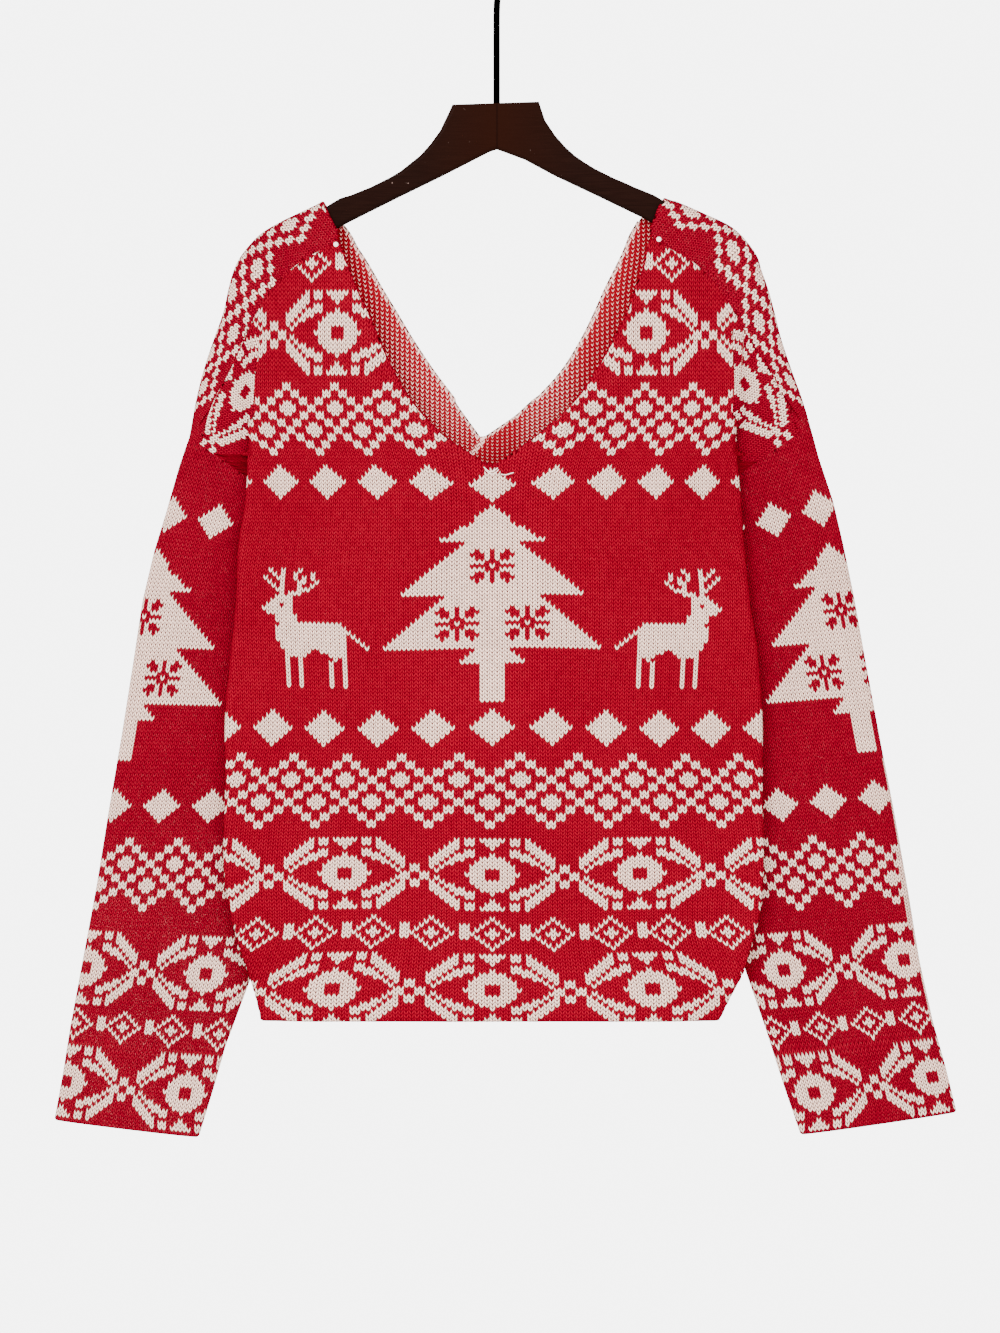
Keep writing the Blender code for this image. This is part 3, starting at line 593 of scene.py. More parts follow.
def nearest(inside, axis):
    """For each place, the index of the nearest one inside along this axis, or -1 where there is none."""
    if axis == 0:
        return nearest(inside.T, 1).T
    count = inside.shape[1]
    here = np.arange(count)[None, :]
    before = np.maximum.accumulate(np.where(inside, here, -1), axis=1)
    after = np.minimum.accumulate(np.where(inside, here, 10 ** 6)[:, ::-1], axis=1)[:, ::-1]
    nearer = np.where((before < 0) | (after - here < here - before), after, before)
    return np.where(nearer >= 10 ** 6, -1, nearer)


def drawn_in(u, v, inside, place):
    """Columns and rows with those outside the cloth drawn back to its edge."""
    j, i = np.nonzero(~inside)
    in_row, in_column = nearest(inside, 1)[j, i], nearest(inside, 0)[j, i]
    by_row = (in_row >= 0) & ((np.abs(in_row - i) <= 3) | (in_column < 0))
    other = (np.where(by_row, j, np.maximum(in_column, 0)), np.where(by_row, in_row, i))
    found = by_row | (in_column >= 0)
    u_in, v_in = u[other], v[other]
    # the edge is found by halving, between the place outside and the nearest one inside
    low, high = np.zeros(len(j)), np.ones(len(j))
    for _ in range(12):
        half = (low + high) / 2
        ok = place(mix(u_in, u[j, i], half), mix(v_in, v[j, i], half), True)
        low, high = np.where(ok, half, low), np.where(ok, high, half)
    u, v = u.copy(), v.copy()
    u[j[found], i[found]] = mix(u_in, u[j, i], low)[found]
    v[j[found], i[found]] = mix(v_in, v[j, i], low)[found]
    return u, v


def hashed(u, row):
    """A value from 0 to 1 for each stitch, scattered but the same every time."""
    return np.modf(np.abs(np.sin(u * 12.9898 + row * 78.233) * 43758.5453))[0]


def round_rim(bm, colour, lift):
    """A rounded edge as thick as the cloth, all along the boundary."""
    lay = bm.verts.layers.float_vector["lay"]
    yarn = bm.loops.layers.float_color["yarn"]
    stitch = bm.loops.layers.uv["stitch"]
    edges = [e for e in bm.edges if e.is_boundary]
    outward, spot, rims = {}, {}, {}
    for edge in edges:
        face = edge.link_faces[0]
        a, b = edge.verts
        way = (b.co - a.co).cross(a[lay])
        if way.dot((a.co + b.co) / 2 - face.calc_center_median()) < 0:
            way = -way
        for vert in (a, b):
            outward[vert] = outward.get(vert, Vector()) + way
        spot.update((loop.vert, loop[stitch].uv.copy()) for loop in face.loops if loop.vert in (a, b))
    for vert, way in outward.items():
        inwards = vert[lay] * -lift
        middle = bm.verts.new(vert.co + (inwards + way.normalized()) * (WALL / 2))
        rims[vert] = vert, middle, bm.verts.new(vert.co + inwards * WALL)
    for edge in edges:
        b = edge.link_loops[0].vert
        a = edge.other_vert(b)
        value = colour((a.co + b.co) / 2)
        for k in (0, 1):
            face = bm.faces.new((rims[a][k], rims[b][k], rims[b][k + 1], rims[a][k + 1]))
            for loop, source in zip(face.loops, (a, b, b, a)):
                loop[stitch].uv = spot[source]
                loop[yarn] = (value, 0.5, 0.0, 1.0)


# how far each leg of a V stitch leans, in rows, and the area below which a piece of the net is left out
LEG_SLANT = 0.45
TOO_SMALL = 0.25 * MM * MM


def knit(name, wales, courses, place, colour, step, lift, yarn, rim=None):
    """A panel of knit: a regular net with two legs to each stitch, laid where place() says.

    wales and courses are the first and last stitch. place takes columns and rows of stitches and gives
    the cloth's middle surface, or whether it reaches there. colour gives three values for each stitch.
    A step of 1 makes every stitch. lift is 1 or -1: the side of the middle surface, along its normal.
    """
    slant = LEG_SLANT if step == 1 else 0.0
    across, down = (wales[1] - wales[0]) * 2 // step, (courses[1] - courses[0]) // step
    bm = bmesh.new()
    bmesh.ops.create_grid(bm, x_segments=across, y_segments=down, size=0.5)
    mesh = bpy.data.meshes.new(name)
    bm.to_mesh(mesh)
    bm.free()
    co = np.empty(len(mesh.vertices) * 3)
    mesh.vertices.foreach_get("co", co)
    x, y, _ = co.reshape(-1, 3).T
    i, j = np.rint((x + 0.5) * across).astype(int), np.rint((0.5 - y) * down).astype(int)
    u, v = np.meshgrid(wales[0] + np.arange(across + 1) * step / 2, courses[0] + np.arange(down + 1.0) * step)
    low = np.where(np.arange(across + 1) % 2 == 0, -slant, slant)[None, :]
    inside = place(u, v + low, True)
    at_u, at_v = drawn_in(u, v + low, inside, place)
    run = place(at_u + 0.3, at_v) - place(at_u - 0.3, at_v)
    fall = place(at_u, at_v + 0.3) - place(at_u, at_v - 0.3)
    normal = np.cross(fall, run)
    normal /= np.maximum(np.linalg.norm(normal, axis=2, keepdims=True), 1e-15)
    places = place(at_u, at_v) + normal * (lift * WALL / 2)
    mesh.vertices.foreach_set("co", places[j, i].ravel())
    lay = mesh.attributes.new("lay", "FLOAT_VECTOR", "POINT")
    lay.data.foreach_set("vector", normal[j, i].ravel())
    corners = np.empty(len(mesh.loops), int)
    mesh.loops.foreach_get("vertex_index", corners)
    stitch = mesh.uv_layers.new(name="stitch")
    stitch.data.foreach_set("uv", np.stack((at_u, at_v - low), axis=-1)[j, i][corners].ravel())
    quads = corners.reshape(-1, 4)
    column = np.floor(wales[0] + i[quads].min(axis=1) * step / 2).astype(int)
    row = courses[0] + j[quads].min(axis=1) * step
    points = places[j, i][quads]
    paint = np.column_stack([c * np.ones(len(quads)) for c in colour(column, row, points.mean(axis=1))]
                            + [np.ones(len(quads))])
    layer = mesh.color_attributes.new("yarn", "FLOAT_COLOR", "CORNER")
    layer.data.foreach_set("color", np.repeat(paint, 4, axis=0).ravel())
    area = np.linalg.norm(np.cross(points[:, 2] - points[:, 0], points[:, 3] - points[:, 1]), axis=1) / 2
    outside = ~inside[j, i][quads].any(axis=1)
    bm = bmesh.new()
    bm.from_mesh(mesh)
    bm.faces.ensure_lookup_table()
    thin = [bm.faces[k] for k in np.flatnonzero(outside | (area < TOO_SMALL * step * step))]
    bmesh.ops.delete(bm, geom=thin, context="FACES")
    if rim:
        round_rim(bm, rim, lift)
    if lift < 0:
        bmesh.ops.reverse_faces(bm, faces=bm.faces)
    for face in bm.faces:
        face.smooth = True
    bm.to_mesh(mesh)
    bm.free()
    mesh.attributes.remove(mesh.attributes["lay"])
    return new_object(name, mesh, yarn)


def red_rim(place):
    """The rim's share of ivory: none."""
    return 0.0


def cloth(name, wales, courses, place, colours, lift, yarn, rim=red_rim, step=2):
    """A panel's face, in single stitches with a rounded edge, and its reverse, in this step."""
    return [knit(name + "_face", wales, courses, place, colours[0], 1, lift, yarn, rim),
            knit(name + "_reverse", wales, courses, place, colours[1], step, -lift, reverse_yarn)]


def laid_at(sign, across, depth, drop):
    """Places in the shared frame, from millimetres on one side."""
    return np.stack((sign * across * MM, depth * MM, SHOULDER_Z - drop * MM), axis=-1)


def folds(x, z, table):
    """Soft folds of hanging cloth: each at x, z, with a slant, half length, half width and height in mm."""
    rise = 0
    for at_x, at_z, slant, length, width, height in table:
        turn = math.radians(slant)
        dx, dz = x / MM - at_x, z / MM - at_z
        along = dx * math.cos(turn) + dz * math.sin(turn)
        off = -dx * math.sin(turn) + dz * math.cos(turn)
        rise = rise + height * np.exp(-(along / length) ** 2 - (off / width) ** 2)
    return rise * MM


# The front: one flat piece with a deep V, knitted wider than it hangs. It folds at the body's sides and
# turns back to side seams hidden behind. Its wales spread at the hem and under the V.
# the rows where bands and plain stripes begin and end, and the drops at which they hang
ROW_EDGES = (-46, 0, 9, 11, 30, 32, 52, 55, 64, 65, 117, 119, 128, 130, 150, 153, 172, 174, 183, 184, 202)
ROW_DROPS = (-120, 33.4, 61.6, 68.4, 133, 139, 194, 201.4, 227, 230.7, 381.9, 387.6, 415, 420.7, 477.3, 484.9,
             539.6, 544.2, 570, 572.7, 624.7)
# drop, then how far the 12th, 24th, 36th and 48th wale lie from the middle
SPREAD_AT = (-60, 100, 165, 214, 300, 403, 448, 512, 557, 600, 640)
SPREAD = np.array([
    (49, 98, 137, 173), (49, 98, 137, 173), (58, 99, 135, 171), (47.5, 87.5, 125, 160),
    (46, 89, 130, 169.5), (45.6, 86.6, 127.4, 166.4), (47, 89.7, 131, 173), (46, 90, 134.5, 179),
    (46.5, 90.5, 134.5, 179), (49, 98, 146, 194.5), (49, 98, 146, 195),
])
NETS = [spread_curve(SPREAD_AT, SPREAD[:, k], DROPS) for k in range(4)]
NET_WALES = np.array([0, 12, 24, 36, 48, 88])
# the drop below which the front is whole
V_POINT = 202


def wale_across(u, drop):
    """How far out from the garment's middle each wale lies, at this drop."""
    knots = [np.zeros_like(drop)] + [at_drop(net, drop) for net in NETS]
    knots.append(knots[4] + 40 * (knots[4] - knots[3]) / 12)
    away = np.abs(u)
    k = np.clip(np.searchsorted(NET_WALES, away, side="right") - 1, 0, 4)
    low, high = (np.take_along_axis(np.stack(knots), k[None] + n, axis=0)[0] for n in (0, 1))
    return np.sign(u) * mix(low, high, (away - NET_WALES[k]) / (NET_WALES[k + 1] - NET_WALES[k]))


POINTS = 48


def beyond_fold(side, drop):
    """Across and depth of the front from just inside its fold to its seam, as even points."""
    fold = float(at_drop(SIDES[side], drop))
    start = fold - FOLD_START
    if drop < SLEEVES[side][0][1]:
        # above the armhole it runs flat to the forward seam
        end = float(at_drop(SHOULDERS[side][1], drop))
        if end <= start:
            return None
        x = np.linspace(start, end, POINTS)
        return np.column_stack((x, layer_depth(side, x, np.full(POINTS, drop), -1)))
    front = float(at_drop(FRONT_DEPTH, drop))
    if drop < SLEEVES[side][0][3]:
        # beside the armhole it turns in behind itself, then out again to the arm
        end, end_depth, _ = armhole(side, float(armhole_share(side, drop)), -1)
        turned = float(at_drop(SIDES["turned"], drop))
        hidden = min(fold - max(turned, 0), end - 0.6)
        points = [(start, -front)]
        if turned > 4:
            points += [(fold - 0.6, -front + 1.0), (fold, -front + TURN / 2), (fold - 0.6, -front + TURN - 1)]
            points += [(fold - 3, -front + TURN), (hidden + 3, -front + TURN), (hidden, -front + 1.5 * TURN)]
            points.append((min(hidden + 3, mix(hidden, end, 0.5)), -front + 2 * TURN))
        else:
            points += [(fold, -front + TURN), (fold + 6.5, -front + 2 * TURN)]
        last_x, last_y = points[-1]
        full = float(bluntness((end - last_x) / at_drop(ROUND, drop)))
        for t in np.linspace(0, 1, 9)[1:]:
            x = mix(last_x, end, t)
            blunt = float(bluntness((end - x) / at_drop(ROUND, drop)))
            points.append((x, mix(end_depth, last_y, blunt / max(full, 0.001))))
    else:
        # below the underarm it goes round the fold and in to the side seam behind
        end, end_depth = (float(c) for c in side_seam(side, drop))
        front *= mix(1, 0.5, float(off_arm(drop)))
        at_side = float(back_below(side, start, drop))
        middle = mix(-front, at_side, 0.5)
        points = [(start, -front), (fold - 0.6, mix(-front, middle, 0.55)), (fold, middle)]
        points += [(fold - 0.6, mix(at_side, middle, 0.55)), (start, at_side)]
        for t in np.linspace(0, 1, 16)[1:]:
            x = mix(start, end, t)
            curl = float(ease(end + 7, end, x)) if x < end + 7 else 0.0
            points.append((x, mix(float(back_below(side, x, drop)), end_depth, curl)))
    points = np.array(points)
    run = np.concatenate(([0], np.cumsum(np.hypot(*np.diff(points, axis=0).T))))
    at = np.linspace(0, run[-1], POINTS)
    return np.column_stack((np.interp(at, run, points[:, 0]), np.interp(at, run, points[:, 1])))


FOLD_DROPS = np.arange(30.0, 632.0, 1.0)
beyond = {}
for side in SIGN:
    rows = [beyond_fold(side, d) for d in FOLD_DROPS]
    lengths = [0 if r is None else np.hypot(*np.diff(r, axis=0).T).sum() for r in rows]
    blank = np.zeros((POINTS, 2))
    beyond[side] = np.array([blank if r is None else r for r in rows]), np.array(lengths)


FRONT_FOLDS = (
    (-120, -640, 84, 170, 16, 1.6), (96, -600, 97, 190, 18, 1.5), (-30, -760, 92, 120, 22, 1.2),
    (150, -780, 80, 110, 14, 1.6), (-160, -800, 100, 100, 14, 1.4), (40, -480, 70, 60, 14, 0.8),
    (-60, -470, 112, 60, 13, 0.8), (0, -720, 88, 60, 16, -1.0),
)


# between these drops the cloth beyond the crease is tucked, and bends down over the arm: the cap below
CAP_FROM, CAP_TO = 98, 194


def front_place(u, v, test=False):
    """The front's middle surface at these columns and rows of stitches, or whether it reaches there."""
    places = np.empty(u.shape + (3,))
    inside = np.zeros(u.shape, bool)
    drop = np.interp(v, ROW_EDGES, ROW_DROPS)
    across = wale_across(u, drop)
    # the rows wave a little between the V and the hem, and sag at the V's point
    wave = 1.2 * np.sin(across / 37 + 0.8) * np.sin(drop / 71)
    drop = drop + wave * ease(210, 260, drop) * ease(HEM, 590, drop)
    drop = drop + 3.0 * np.exp(-(across / 30) ** 2 - ((drop - 212) / 24) ** 2)
    for side, sign in SIGN.items():
        mine = (u >= 0) if sign > 0 else (u < 0)
        x = sign * (MIDDLE + across[mine])
        d = drop[mine]
        neck = at_drop(SHOULDERS[side][2], d)
        neck = np.where(d > V_POINT, sign * MIDDLE - 1, neck)
        seam = at_drop(SHOULDERS[side][1], d)
        start = at_drop(SIDES[side], d) - FOLD_START
        plain_end = np.where(d < 180, np.minimum(start, seam), start)
        table, length = beyond[side]
        row = np.clip(d - FOLD_DROPS[0], 0, len(FOLD_DROPS) - 1.001)
        low = row.astype(int)
        run = np.where(length[low] > 0, mix(length[low], length[low + 1], row - low), 0)
        tucked = (d >= CAP_FROM) & (d <= CAP_TO - 2)
        reach = np.where(tucked, np.minimum(run, np.where(d > 165, 5, 0)), run)
        inside[mine] = (x >= neck) & (x <= plain_end + reach) & (d <= HEM) & (d >= 30)
        if test:
            continue
        face_x = np.minimum(x, plain_end)
        flat = -at_drop(FRONT_DEPTH, d)
        side_level = np.where(d < SLEEVES[side][0][3], layer_depth(side, plain_end, d, -1),
                              flat * mix(1, 0.5, off_arm(d)))
        level = mix(flat, side_level, ease(plain_end - 45, plain_end, face_x))
        level = np.where(d < 120, layer_depth(side, face_x, d, -1), level)
        over = np.clip((x - plain_end) / np.maximum(run, 1e-6), 0, 1) * (POINTS - 1)
        k = np.minimum(over.astype(int), POINTS - 2)
        t = (over - k)[:, None]
        near = mix(table[low, k], table[low, k + 1], t)
        far = mix(table[low + 1, k], table[low + 1, k + 1], t)
        turned = mix(near, far, (row - low)[:, None])
        past = (x > plain_end) & (reach > 1e-3)
        px, py = np.where(past, turned[:, 0], face_x), np.where(past, turned[:, 1], level)
        places[mine] = laid_at(sign, px, py, d)
    if test:
        return inside
    x, z = places[..., 0], places[..., 2]
    soft = folds(x, z, FRONT_FOLDS) + 0.5 * MM * np.sin(x / 0.021 + z / 0.09) * ease(0.42, 0.6, -z)
    places[..., 1] -= soft * ease(0.19, 0.15, np.abs(x))
    return places


def body_colour(column, row, centres):
    """The chart, left red where the front is turned back beside the armhole."""
    x, y, z = centres.T
    beside = (x > 0.1830) | (x < -0.1895)
    behind = (np.abs(x) > 0.14) & (np.abs(y + 0.0074) < 0.0054)
    turned = np.where(row < 55, beside, behind) & (z > SHOULDER_Z - 0.225) & (row >= 42)
    ivory = chart(BODY_BANDS, column, row) & ~turned
    return ivory, hashed(column, row), 0.25 * hashed(column * 3, row)


def inside_colour(column, row, centres):
    """The birdseye reverse, which is all red where the cloth is creased at its sides."""
    return np.where(np.abs(centres[:, 0]) < 0.165, 0.3, -0.2), hashed(column, row), 0 * row


# column of stitches, then where row 20 crosses it (across, drop) and the way from each row to the next
CAP_WALES = (42, 45, 52.5, 60, 67.5, 75, 84)
CAP_PATH = ((160, 168, 180, 191, 206, 223, 243), (98, 106, 124, 143, 163, 186, 212))
CAP_ROWS = ((0, 0, -1.0, -1.7, -1.8, -1.8, -1.8), (3.4, 3.3, 2.4, 1.5, 1.5, 1.5, 1.5))


def cap_place(side):
    """The function that lays the front's outer part, which bends down over the arm past the crease."""
    sign, ring = SIGN[side], SLEEVES[side][0]
    drawn_over = 0 if side == "left" else -3

    def place(u, v, test=False):
        px, pz = (np.interp(u, CAP_WALES, c) + (v - 20) * np.interp(u, CAP_WALES, r)
                  for c, r in zip(CAP_PATH, CAP_ROWS))
        px, pz = px + drawn_over, pz + 2 * drawn_over
        start = at_drop(SIDES[side], pz) - FOLD_START
        if test:
            seam = at_drop(SHOULDERS[side][1], pz)
            near = (px >= start - 1) & (pz >= CAP_FROM) & (pz <= CAP_TO + 4)
            return near & ((px <= seam) | (pz >= ring[1])) & (pz <= arm_line(side, px))
        end, end_depth, _ = armhole(side, armhole_share(side, pz), -1)
        low = mix(end_depth, 11 - at_drop(FRONT_DEPTH, pz), bluntness((end - px) / at_drop(ROUND, pz)))
        depth = np.where(pz < ring[1], layer_depth(side, px, np.minimum(pz, ring[1]), -1), low)
        depth = depth + (1 - ease(start - 1, start + 5, px)) * ease(110, 130, pz)
        return laid_at(sign, px, depth, pz)

    return place


def cap_colour(column, row, centres):
    """The body's chart, down to the leaf band: the armhole cuts it off there."""
    ivory, tone, grin = body_colour(column, row, centres)
    return ivory & (row < 30), tone, grin


front, front_inside = cloth("front", (-84, 84), (-2, 203), front_place, (body_colour, inside_colour), 1,
                            face_yarn)
caps = []
for side, sign in SIGN.items():
    caps += cloth(side + "_cap", (40, 86), (-2, 46), cap_place(side), (cap_colour, inside_colour), sign,
                  sleeve_yarn)
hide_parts("front_panel")
for piece in [front, front_inside] + caps:
    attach(piece, "root")


# The bar tacks and the thread ends: white sewing cotton. A tack holds the forward seam's end at each side
# of the neck, and the ends of the neck's linking yarn come out loosely at the V's point.
cotton = new_material("white_sewing_cotton", Base_Color=linear("#FFE4DA"), Roughness=0.9)[0]
for name, x, drop in (("left_bar_tack", -122.7, 33.0), ("right_bar_tack", 123.3, 29.1)):
    bm = bmesh.new()
    bmesh.ops.create_uvsphere(bm, u_segments=16, v_segments=10, radius=1.0)
    bmesh.ops.scale(bm, verts=bm.verts, vec=(1.9 * MM, 1.1 * MM, 1.9 * MM))
    bmesh.ops.translate(bm, verts=bm.verts, vec=(x * MM, -10.6 * MM, SHOULDER_Z - drop * MM))
    tack = new_object(name, bm, cotton)
    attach(tack, "root")
# across, drop and how far off the middle of the cloth
THREADS = (
    ((-10, 203, 0.6), (-7, 206.4, 1.6), (-2.5, 206.6, 1.6), (0.5, 203.6, 0.8)),
    ((-9, 205, 0.6), (-5.5, 208.6, 1.8), (-1.5, 208.2, 1.6), (1.2, 205, 0.6)),
    ((3, 208.5, 0.6), (6.5, 209.2, 1.4), (10, 208.0, 1.6), (12.5, 207.2, 0.8)),
)
lines = [[laid_at(1, x, -18.3 - off, drop) for x, drop, off in line] for line in THREADS]
thread_ends = new_object("neck_thread_ends", bent_wire("neck_thread_ends", lines, 0.64 * MM, 2), cotton)
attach(thread_ends, "root")


# The back: one piece of the same knit, with a V of its own. It runs over the shoulders' ridge and down
# to a forward seam on the front, where its bands show turned. It sags a little towards the middle.
BACK_WALE = 3.84
# axes out from each shoulder's ridge and along it, and the ridge itself, drawn on past its ends
RIDGE_OUT = np.array((0.872, -0.489))
RIDGE_ALONG = np.array((0.489, 0.872))
ridges = {}
for side in SIGN:
    drops = np.arange(0.0, 181.0, 2.0)
    points = np.column_stack((at_drop(SHOULDERS[side][0], drops), drops))
    points = np.vstack(([points[0] - (60, 27)], points, [points[-1] + (20, 80)]))
    ridges[side] = points @ RIDGE_ALONG, points @ RIDGE_OUT
# the cloth's length round the rounded edge, for even steps in from the ridge
EDGE_RADIUS = 17.0
steps = np.linspace(0, 1, 400)
profile = 0.62 * bluntness(steps)
EDGE_RUN = np.concatenate(([0], np.cumsum(np.hypot(np.diff(steps), np.diff(profile)))))


def in_from_ridge(run):
    """How far in from the ridge the cloth lies, at this length from it round the rounded edge."""
    near = np.interp(run / EDGE_RADIUS, EDGE_RUN, steps) * EDGE_RADIUS
    return np.where(run < EDGE_RADIUS * EDGE_RUN[-1], near, run - EDGE_RADIUS * (EDGE_RUN[-1] - 1))


def by_ridge(side, along, inward):
    """Across and drop of what lies this far along the ridge and this far in from it."""
    out = np.interp(along, *ridges[side]) - inward
    return along * RIDGE_ALONG[0] + out * RIDGE_OUT[0], along * RIDGE_ALONG[1] + out * RIDGE_OUT[1]


# the back's V, in the hanger's own left and right: its edges meet a little left of the middle, lapped
BACK_NECK = {side: SHOULDERS[side][3].copy() for side in SIGN}
for side, drops, widths in (("left", (150, 157, 181, 182), (34, 29.6, 12.2, -400)),
                            ("right", (150, 162.6, 175.6, 181, 182), (28.5, 15.2, -3.8, -12.2, -400))):
    low = DROPS > drops[0]
    BACK_NECK[side][low] = np.interp(DROPS[low], drops, widths)


def back_end(side, drop):
    """Across and depth of the back's outer edge: the armhole, then the side seam."""
    ring = SLEEVES[side][0]
    x, y, _ = armhole(side, armhole_share(side, drop), 1)
    seam_x, seam_y = side_seam(side, drop)
    below = drop > ring[3]
    return np.where(below, seam_x, x), np.where(below, seam_y, y)


def back_depth(side, x, drop):
    """Depth of the back, drawn to the armhole, to the side seam below it and round the shoulder above."""
    end, end_depth = back_end(side, drop)
    share = armhole_share(side, drop)
    power = mix(2.2, 1.2, ease(0, 0.3, share))
    blunt = bluntness((end - x) / at_drop(ROUND, drop), power)
    flat = mix(end_depth, at_drop(BACK_DEPTH, drop), blunt)
    below = mix(back_below(side, x, drop), end_depth, ease(end - 20, end, x))
    low = mix(flat, below, ease(0, 60, drop - SLEEVES[side][0][3]))
    return np.where(drop < SLEEVES[side][0][1], layer_depth(side, x, drop, 1), low)


def back_place(u, v, test=False):
    """The back's middle surface at these columns and rows of stitches, or whether it reaches there."""
    places = np.empty(u.shape + (3,))
    inside = np.zeros(u.shape, bool)
    flat_x = MIDDLE + BACK_WALE * u
    drop = np.interp(v, ROW_EDGES, ROW_DROPS)
    sag = 0.27 * np.maximum(110 - np.sqrt(flat_x ** 2 + 100), 0)
    flat_z = drop + sag * (1 - ease(150, 420, drop))
    for side, sign in SIGN.items():
        mine = (u >= 0) if sign > 0 else (u < 0)
        x, z = sign * flat_x[mine], flat_z[mine]
        along = x * RIDGE_ALONG[0] + z * RIDGE_ALONG[1]
        out = x * RIDGE_OUT[0] + z * RIDGE_OUT[1]
        past = out - np.interp(along, *ridges[side])
        run = np.abs(past)
        inward = in_from_ridge(run)
        inward = np.where(past < 0, mix(inward, run, ease(50, 110, run)), inward)
        px, pz = by_ridge(side, along, inward)
        world = sign * px
        clear = (world <= -at_drop(BACK_NECK["left"], pz)) | (world >= at_drop(BACK_NECK["right"], pz))
        within = (pz < SLEEVES[side][0][1]) | (px <= back_end(side, pz)[0])
        inside[mine] = (past < 0) & clear & within & (pz <= HEM) & (pz > -6)
        front = layer_depth(side, px, np.minimum(pz, 182), -1)
        depth = np.where(past < 0, back_depth(side, px, pz), front)
        places[mine] = laid_at(sign, px, depth, pz)
    return inside if test else places


def pale_neck(place):
    """The rolled edge round the back of the neck shows the pale yarn, and every other edge is red."""
    by_neck = place.z > SHOULDER_Z - 203 * MM and place.y > -4 * MM and abs(place.x + 5 * MM) < 131 * MM
    return 0.85 if by_neck else 0.0


def back_inside_colour(column, row, centres):
    """Whiter behind the lattice, where more of the pale yarn floats, and pale along the rolled edge.

    The right half laps over the left one where the V's edges meet, and is redder there.
    """
    x, drop = centres[:, 0] / MM, (SHOULDER_Z - centres[:, 2]) / MM
    lap = x + 12.2 + 0.83 * np.maximum(drop - 181, 0)
    left = np.interp(drop, (0, 80, 130, 168, 190), (0.055, 0.07, 0.125, 0.12, 0.07))
    right = np.interp(x, (0, 12, 26, 48, 70, 140), (0.04, 0.05, 0.14, 0.14, 0.06, 0.06))
    pale = np.where(np.abs(x) > 145, -0.2, np.where(lap < 0, left, right))
    edge = np.where(x < -12.2, -x - at_drop(BACK_NECK["left"], drop), x - at_drop(BACK_NECK["right"], drop))
    rolled = ((edge < 2.2) & (drop < 180)) | ((lap > 0) & (lap < 3.5) & (drop > 180))
    return np.where(rolled, 0.6, pale), hashed(column, row), 0.2 + 0 * row


# column of stitches, then how far along the shoulder it starts; and there, the row that lies on the
# ridge and the millimetres to a row, which the cloth's turn over the arm draws together
STRIP_WALES = {
    "left": ((20, 22, 29.5, 41.5, 47.5, 59.5, 75, 80), (57, 64, 88.8, 126, 154, 204.7, 267, 287)),
    "right": ((20, 22, 29.5, 41.5, 47.5, 59.5, 75, 80), (43, 50, 75.8, 113, 143, 198, 266, 287)),
}
STRIP_ROWS = ((60, 90, 130, 157, 206, 240, 270), (-14, -12, -7.5, -6.5, -6.5, -13, -23),
              (2.7, 2.7, 2.5, 2.2, 1.5, 1.45, 1.6))


def strip_place(side):
    """The function that lays the back's strip on the front of this shoulder, from ridge to seam."""
    sign, ring = SIGN[side], SLEEVES[side][0]

    def place(u, v, test=False):
        first = np.interp(u, *STRIP_WALES[side])
        level, pitch = np.interp(first, STRIP_ROWS[0], STRIP_ROWS[1]), np.interp(first, *STRIP_ROWS[::2])
        run = (level - v) * pitch
        along = first + 0.28 * run
        px, pz = by_ridge(side, along, in_from_ridge(run))
        if test:
            over = (pz > 0) & (along > ridges[side][0][1] - 3)
            over &= (px >= at_drop(SHOULDERS[side][1], pz)) & (pz <= arm_line(side, px))
            return (run >= 0) & over
        joined = armhole(side, np.clip((ring[0] - px) / (ring[0] - ring[2]), 0, 1), -1)[1]
        front = layer_depth(side, px, np.minimum(pz, 182), -1)
        depth = mix(joined, front, ease(0, 22, arm_line(side, px) - pz))
        return laid_at(sign, px, depth, pz)

    return place


def strip_colour(column, row, centres):
    ivory, tone, grin = body_colour(column, row, centres)
    return ivory & (row >= -23), tone, grin + 0.4 * hashed(column * 5, row)


back, back_inside = cloth("back", (-66, 66), (-60, 203), back_place, (body_colour, back_inside_colour), -1,
                          face_yarn, pale_neck, 1)
strips = []
for side, sign in SIGN.items():
    strips += cloth(side + "_shoulder", (18, 80), (-64, 2), strip_place(side), (strip_colour, strip_colour),
                    -sign, sleeve_yarn)
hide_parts("back_panel")
for piece in [back, back_inside] + strips:
    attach(piece, "root")


# The sleeves: one piece each, of a finer gauge, folded flat along the arm. Each is joined to the dropped
# armhole and closed at the inner fold. The left one hangs further round than the right one.
SLEEVE_WALE, ROUND_FOLDS = 3.09, 5
BEHIND_SLANT = math.radians(22)
# some rows of stitches, and for each sleeve: how far round from the outer fold its middle column lies, and
# where those rows meet the outer and the inner fold, in pixels of the picture
PIXEL_MM, SHOULDER_PIXEL = 0.76, 200
SLEEVE_ROWS = (-60, -14, 0, 9, 13, 39, 65, 72, 81, 85, 105, 111, 130, 132, 141, 142, 161, 163)
SLEEVE_FRONTS = {
    "left": (3.5, (
        (213, 439, 496, 531, 549, 655, 761, 790, 823, 839, 911, 932, 1006, 1009, 1040, 1048, 1118, 1126),
        (224, 455, 512, 545, 555, 658, 762, 790, 823, 839, 913.5, 936.5, 1011, 1016, 1048, 1055, 1130, 1138),
    )),
    "right": (12.5, (
        (203, 431, 489, 525, 543, 648, 752, 781, 814, 832, 905, 924, 998, 1003, 1034, 1043, 1114, 1122),
        (226, 457, 515, 546, 555, 656, 760, 789, 821.5, 838, 911, 932, 1006, 1013, 1044, 1054, 1128, 1136),
    )),
}
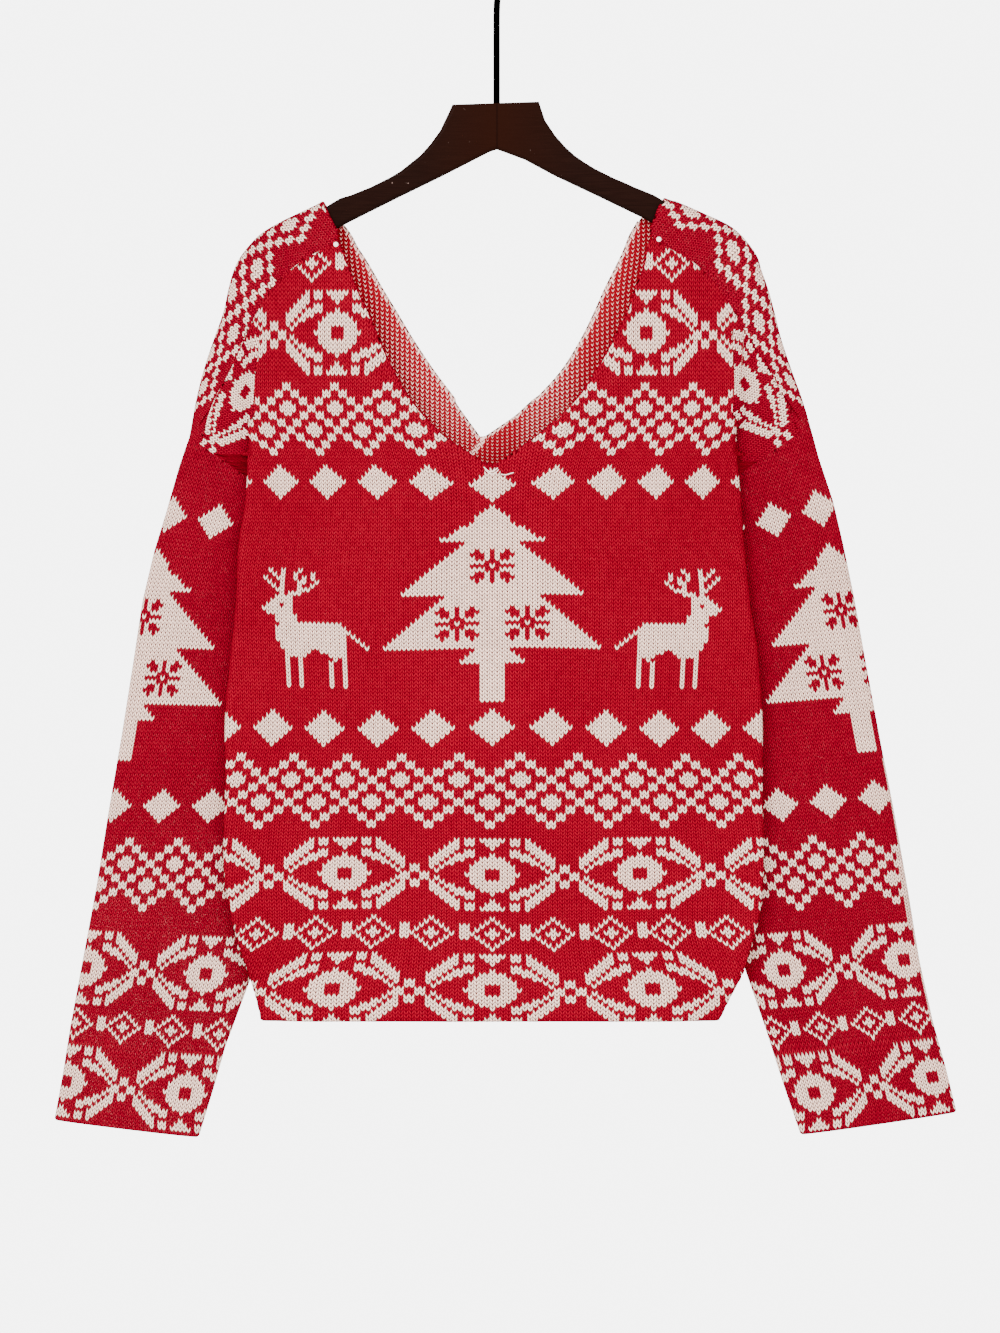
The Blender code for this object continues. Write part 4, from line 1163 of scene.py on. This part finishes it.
SLEEVE_FOLDS = {
    "left": ((-235, -560, 74, 90, 12, 1.5), (-255, -700, 80, 110, 13, 1.2), (-215, -480, 40, 50, 9, 1.4)),
    "right": ((235, -560, 106, 90, 12, 1.5), (258, -700, 100, 110, 13, 1.2), (214, -470, 140, 50, 9, 1.2)),
}
# the sleeve's flat oval: how far round it lies each place in from the outer fold
angles = np.linspace(0, math.pi, 600)
oval_x = 0.5 - 0.5 * np.cos(angles)
oval_y = 9.0 * (1 - np.abs(2 * oval_x - 1) ** 2.6) ** (1 / 2.6)
OVAL_RUN = np.concatenate(([0], np.cumsum(np.hypot(np.diff(oval_x * 130), np.diff(oval_y)))))
OVAL_RUN = OVAL_RUN / OVAL_RUN[-1]


def ring_share(side, x, drop):
    """Which ring of the sleeve passes through each place, and how far along it, from the outer fold."""
    rings = SLEEVES[side]
    run = rings[:, 2:4] - rings[:, 0:2]
    off = [run[k, 0] * (drop - rings[k, 1]) - run[k, 1] * (x - rings[k, 0]) for k in range(len(rings))]
    below = -np.stack(off) / np.hypot(run[:, 0], run[:, 1]).reshape((-1,) + (1,) * x.ndim)
    k = np.clip((below > 0).sum(axis=0) - 1, 0, len(rings) - 2)
    here = np.take_along_axis(below, k[None], axis=0)[0]
    after = np.take_along_axis(below, k[None] + 1, axis=0)[0]
    share = k + np.clip(here / np.maximum(here - after, 1e-9), -0.5, 1.5)
    ends = [np.interp(share, np.arange(len(rings)), rings[:, c]) for c in range(6)]
    length2 = (ends[2] - ends[0]) ** 2 + (ends[3] - ends[1]) ** 2
    e = ((x - ends[0]) * (ends[2] - ends[0]) + (drop - ends[1]) * (ends[3] - ends[1])) / length2
    return share, np.clip(e, 0, 1), ends, below[0] >= 0, below[-1] <= 0


def sleeve_place(side):
    """The function that lays this sleeve's stitches."""
    first, edges = SLEEVE_FRONTS[side]
    rings, sign = SLEEVES[side], SIGN[side]

    def place(u, v, test=False):
        run = first + SLEEVE_WALE * u
        top, inner = ((np.interp(v, SLEEVE_ROWS, edge) - SHOULDER_PIXEL) * PIXEL_MM for edge in edges)
        slope = (inner - top) / (24 * SLEEVE_WALE)
        behind_slope = np.tan(BEHIND_SLANT - np.arctan(slope))
        drop = top - slope * first + np.where(run > 0, slope, behind_slope) * np.abs(run)
        outer = np.interp(drop, rings[:, 1], rings[:, 0])
        fold = np.interp(drop, rings[:, 3], rings[:, 2])
        width = outer - fold
        e = np.interp(np.abs(run) / (width + ROUND_FOLDS), OVAL_RUN, oval_x)
        x = outer - width * e
        share, e, ends, below_arm, above_cuff = ring_share(side, x, drop)
        if test:
            return (np.abs(run) <= width + ROUND_FOLDS) & below_arm & above_cuff
        oval, blunt = ((1 - np.abs(2 * e - 1) ** power) ** (1 / power) for power in (2.6, 3.5))
        near_arm = 1 - ease(0, 1.2, share)
        spread = mix(oval, blunt, near_arm)
        centre = mix(ends[5], mix(-1.0, ends[5], ease(0, 0.25, e)), near_arm)
        depth = centre + np.where(run > 0, -1, 1) * ends[4] * spread
        z = SHOULDER_Z - drop * MM
        soft = 0.5 * np.sin(drop / 23 + x / 31) * ease(250, 330, drop) * np.sin(math.pi * e)
        soft = soft + folds(sign * x * MM, z, SLEEVE_FOLDS[side]) / MM * np.sin(math.pi * e)
        depth = depth - np.where(run > 0, 1, -0.6) * soft
        return laid_at(sign, x, depth, drop)

    return place


def sleeve_colour(side):
    """The function that gives this sleeve's chart, with a pale line along the right one's outer fold."""
    first, _ = SLEEVE_FRONTS[side]

    def colour(column, row, centres):
        ivory = chart(SLEEVE_BANDS, column, row).astype(float)
        drop = (SHOULDER_Z - centres[:, 2]) / MM
        run = first + SLEEVE_WALE * (column + 0.5)
        if side == "right":
            edge = 5.5 * np.sin(np.clip((drop - 412) / 230, 0, 1) * math.pi) ** 0.5 - 0.5
            ivory = np.where((run > -3) & (run < edge) & (edge > 0), np.maximum(ivory, 0.75), ivory)
        grin = 0.35 if side == "right" else mix(0.35, 0.95, ease(430, 560, drop))
        return ivory, hashed(column, row), grin * (0.4 + 0.6 * hashed(column * 3, row))

    return colour


for side, sign in SIGN.items():
    colours = (sleeve_colour(side),) * 2
    outer, inner = cloth(side + "_sleeve", (-56, 56), (-44, 163), sleeve_place(side), colours, -sign,
                         sleeve_yarn)
    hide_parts(side + "_sleeve")
    for piece in (outer, inner):
        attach(piece, "root")
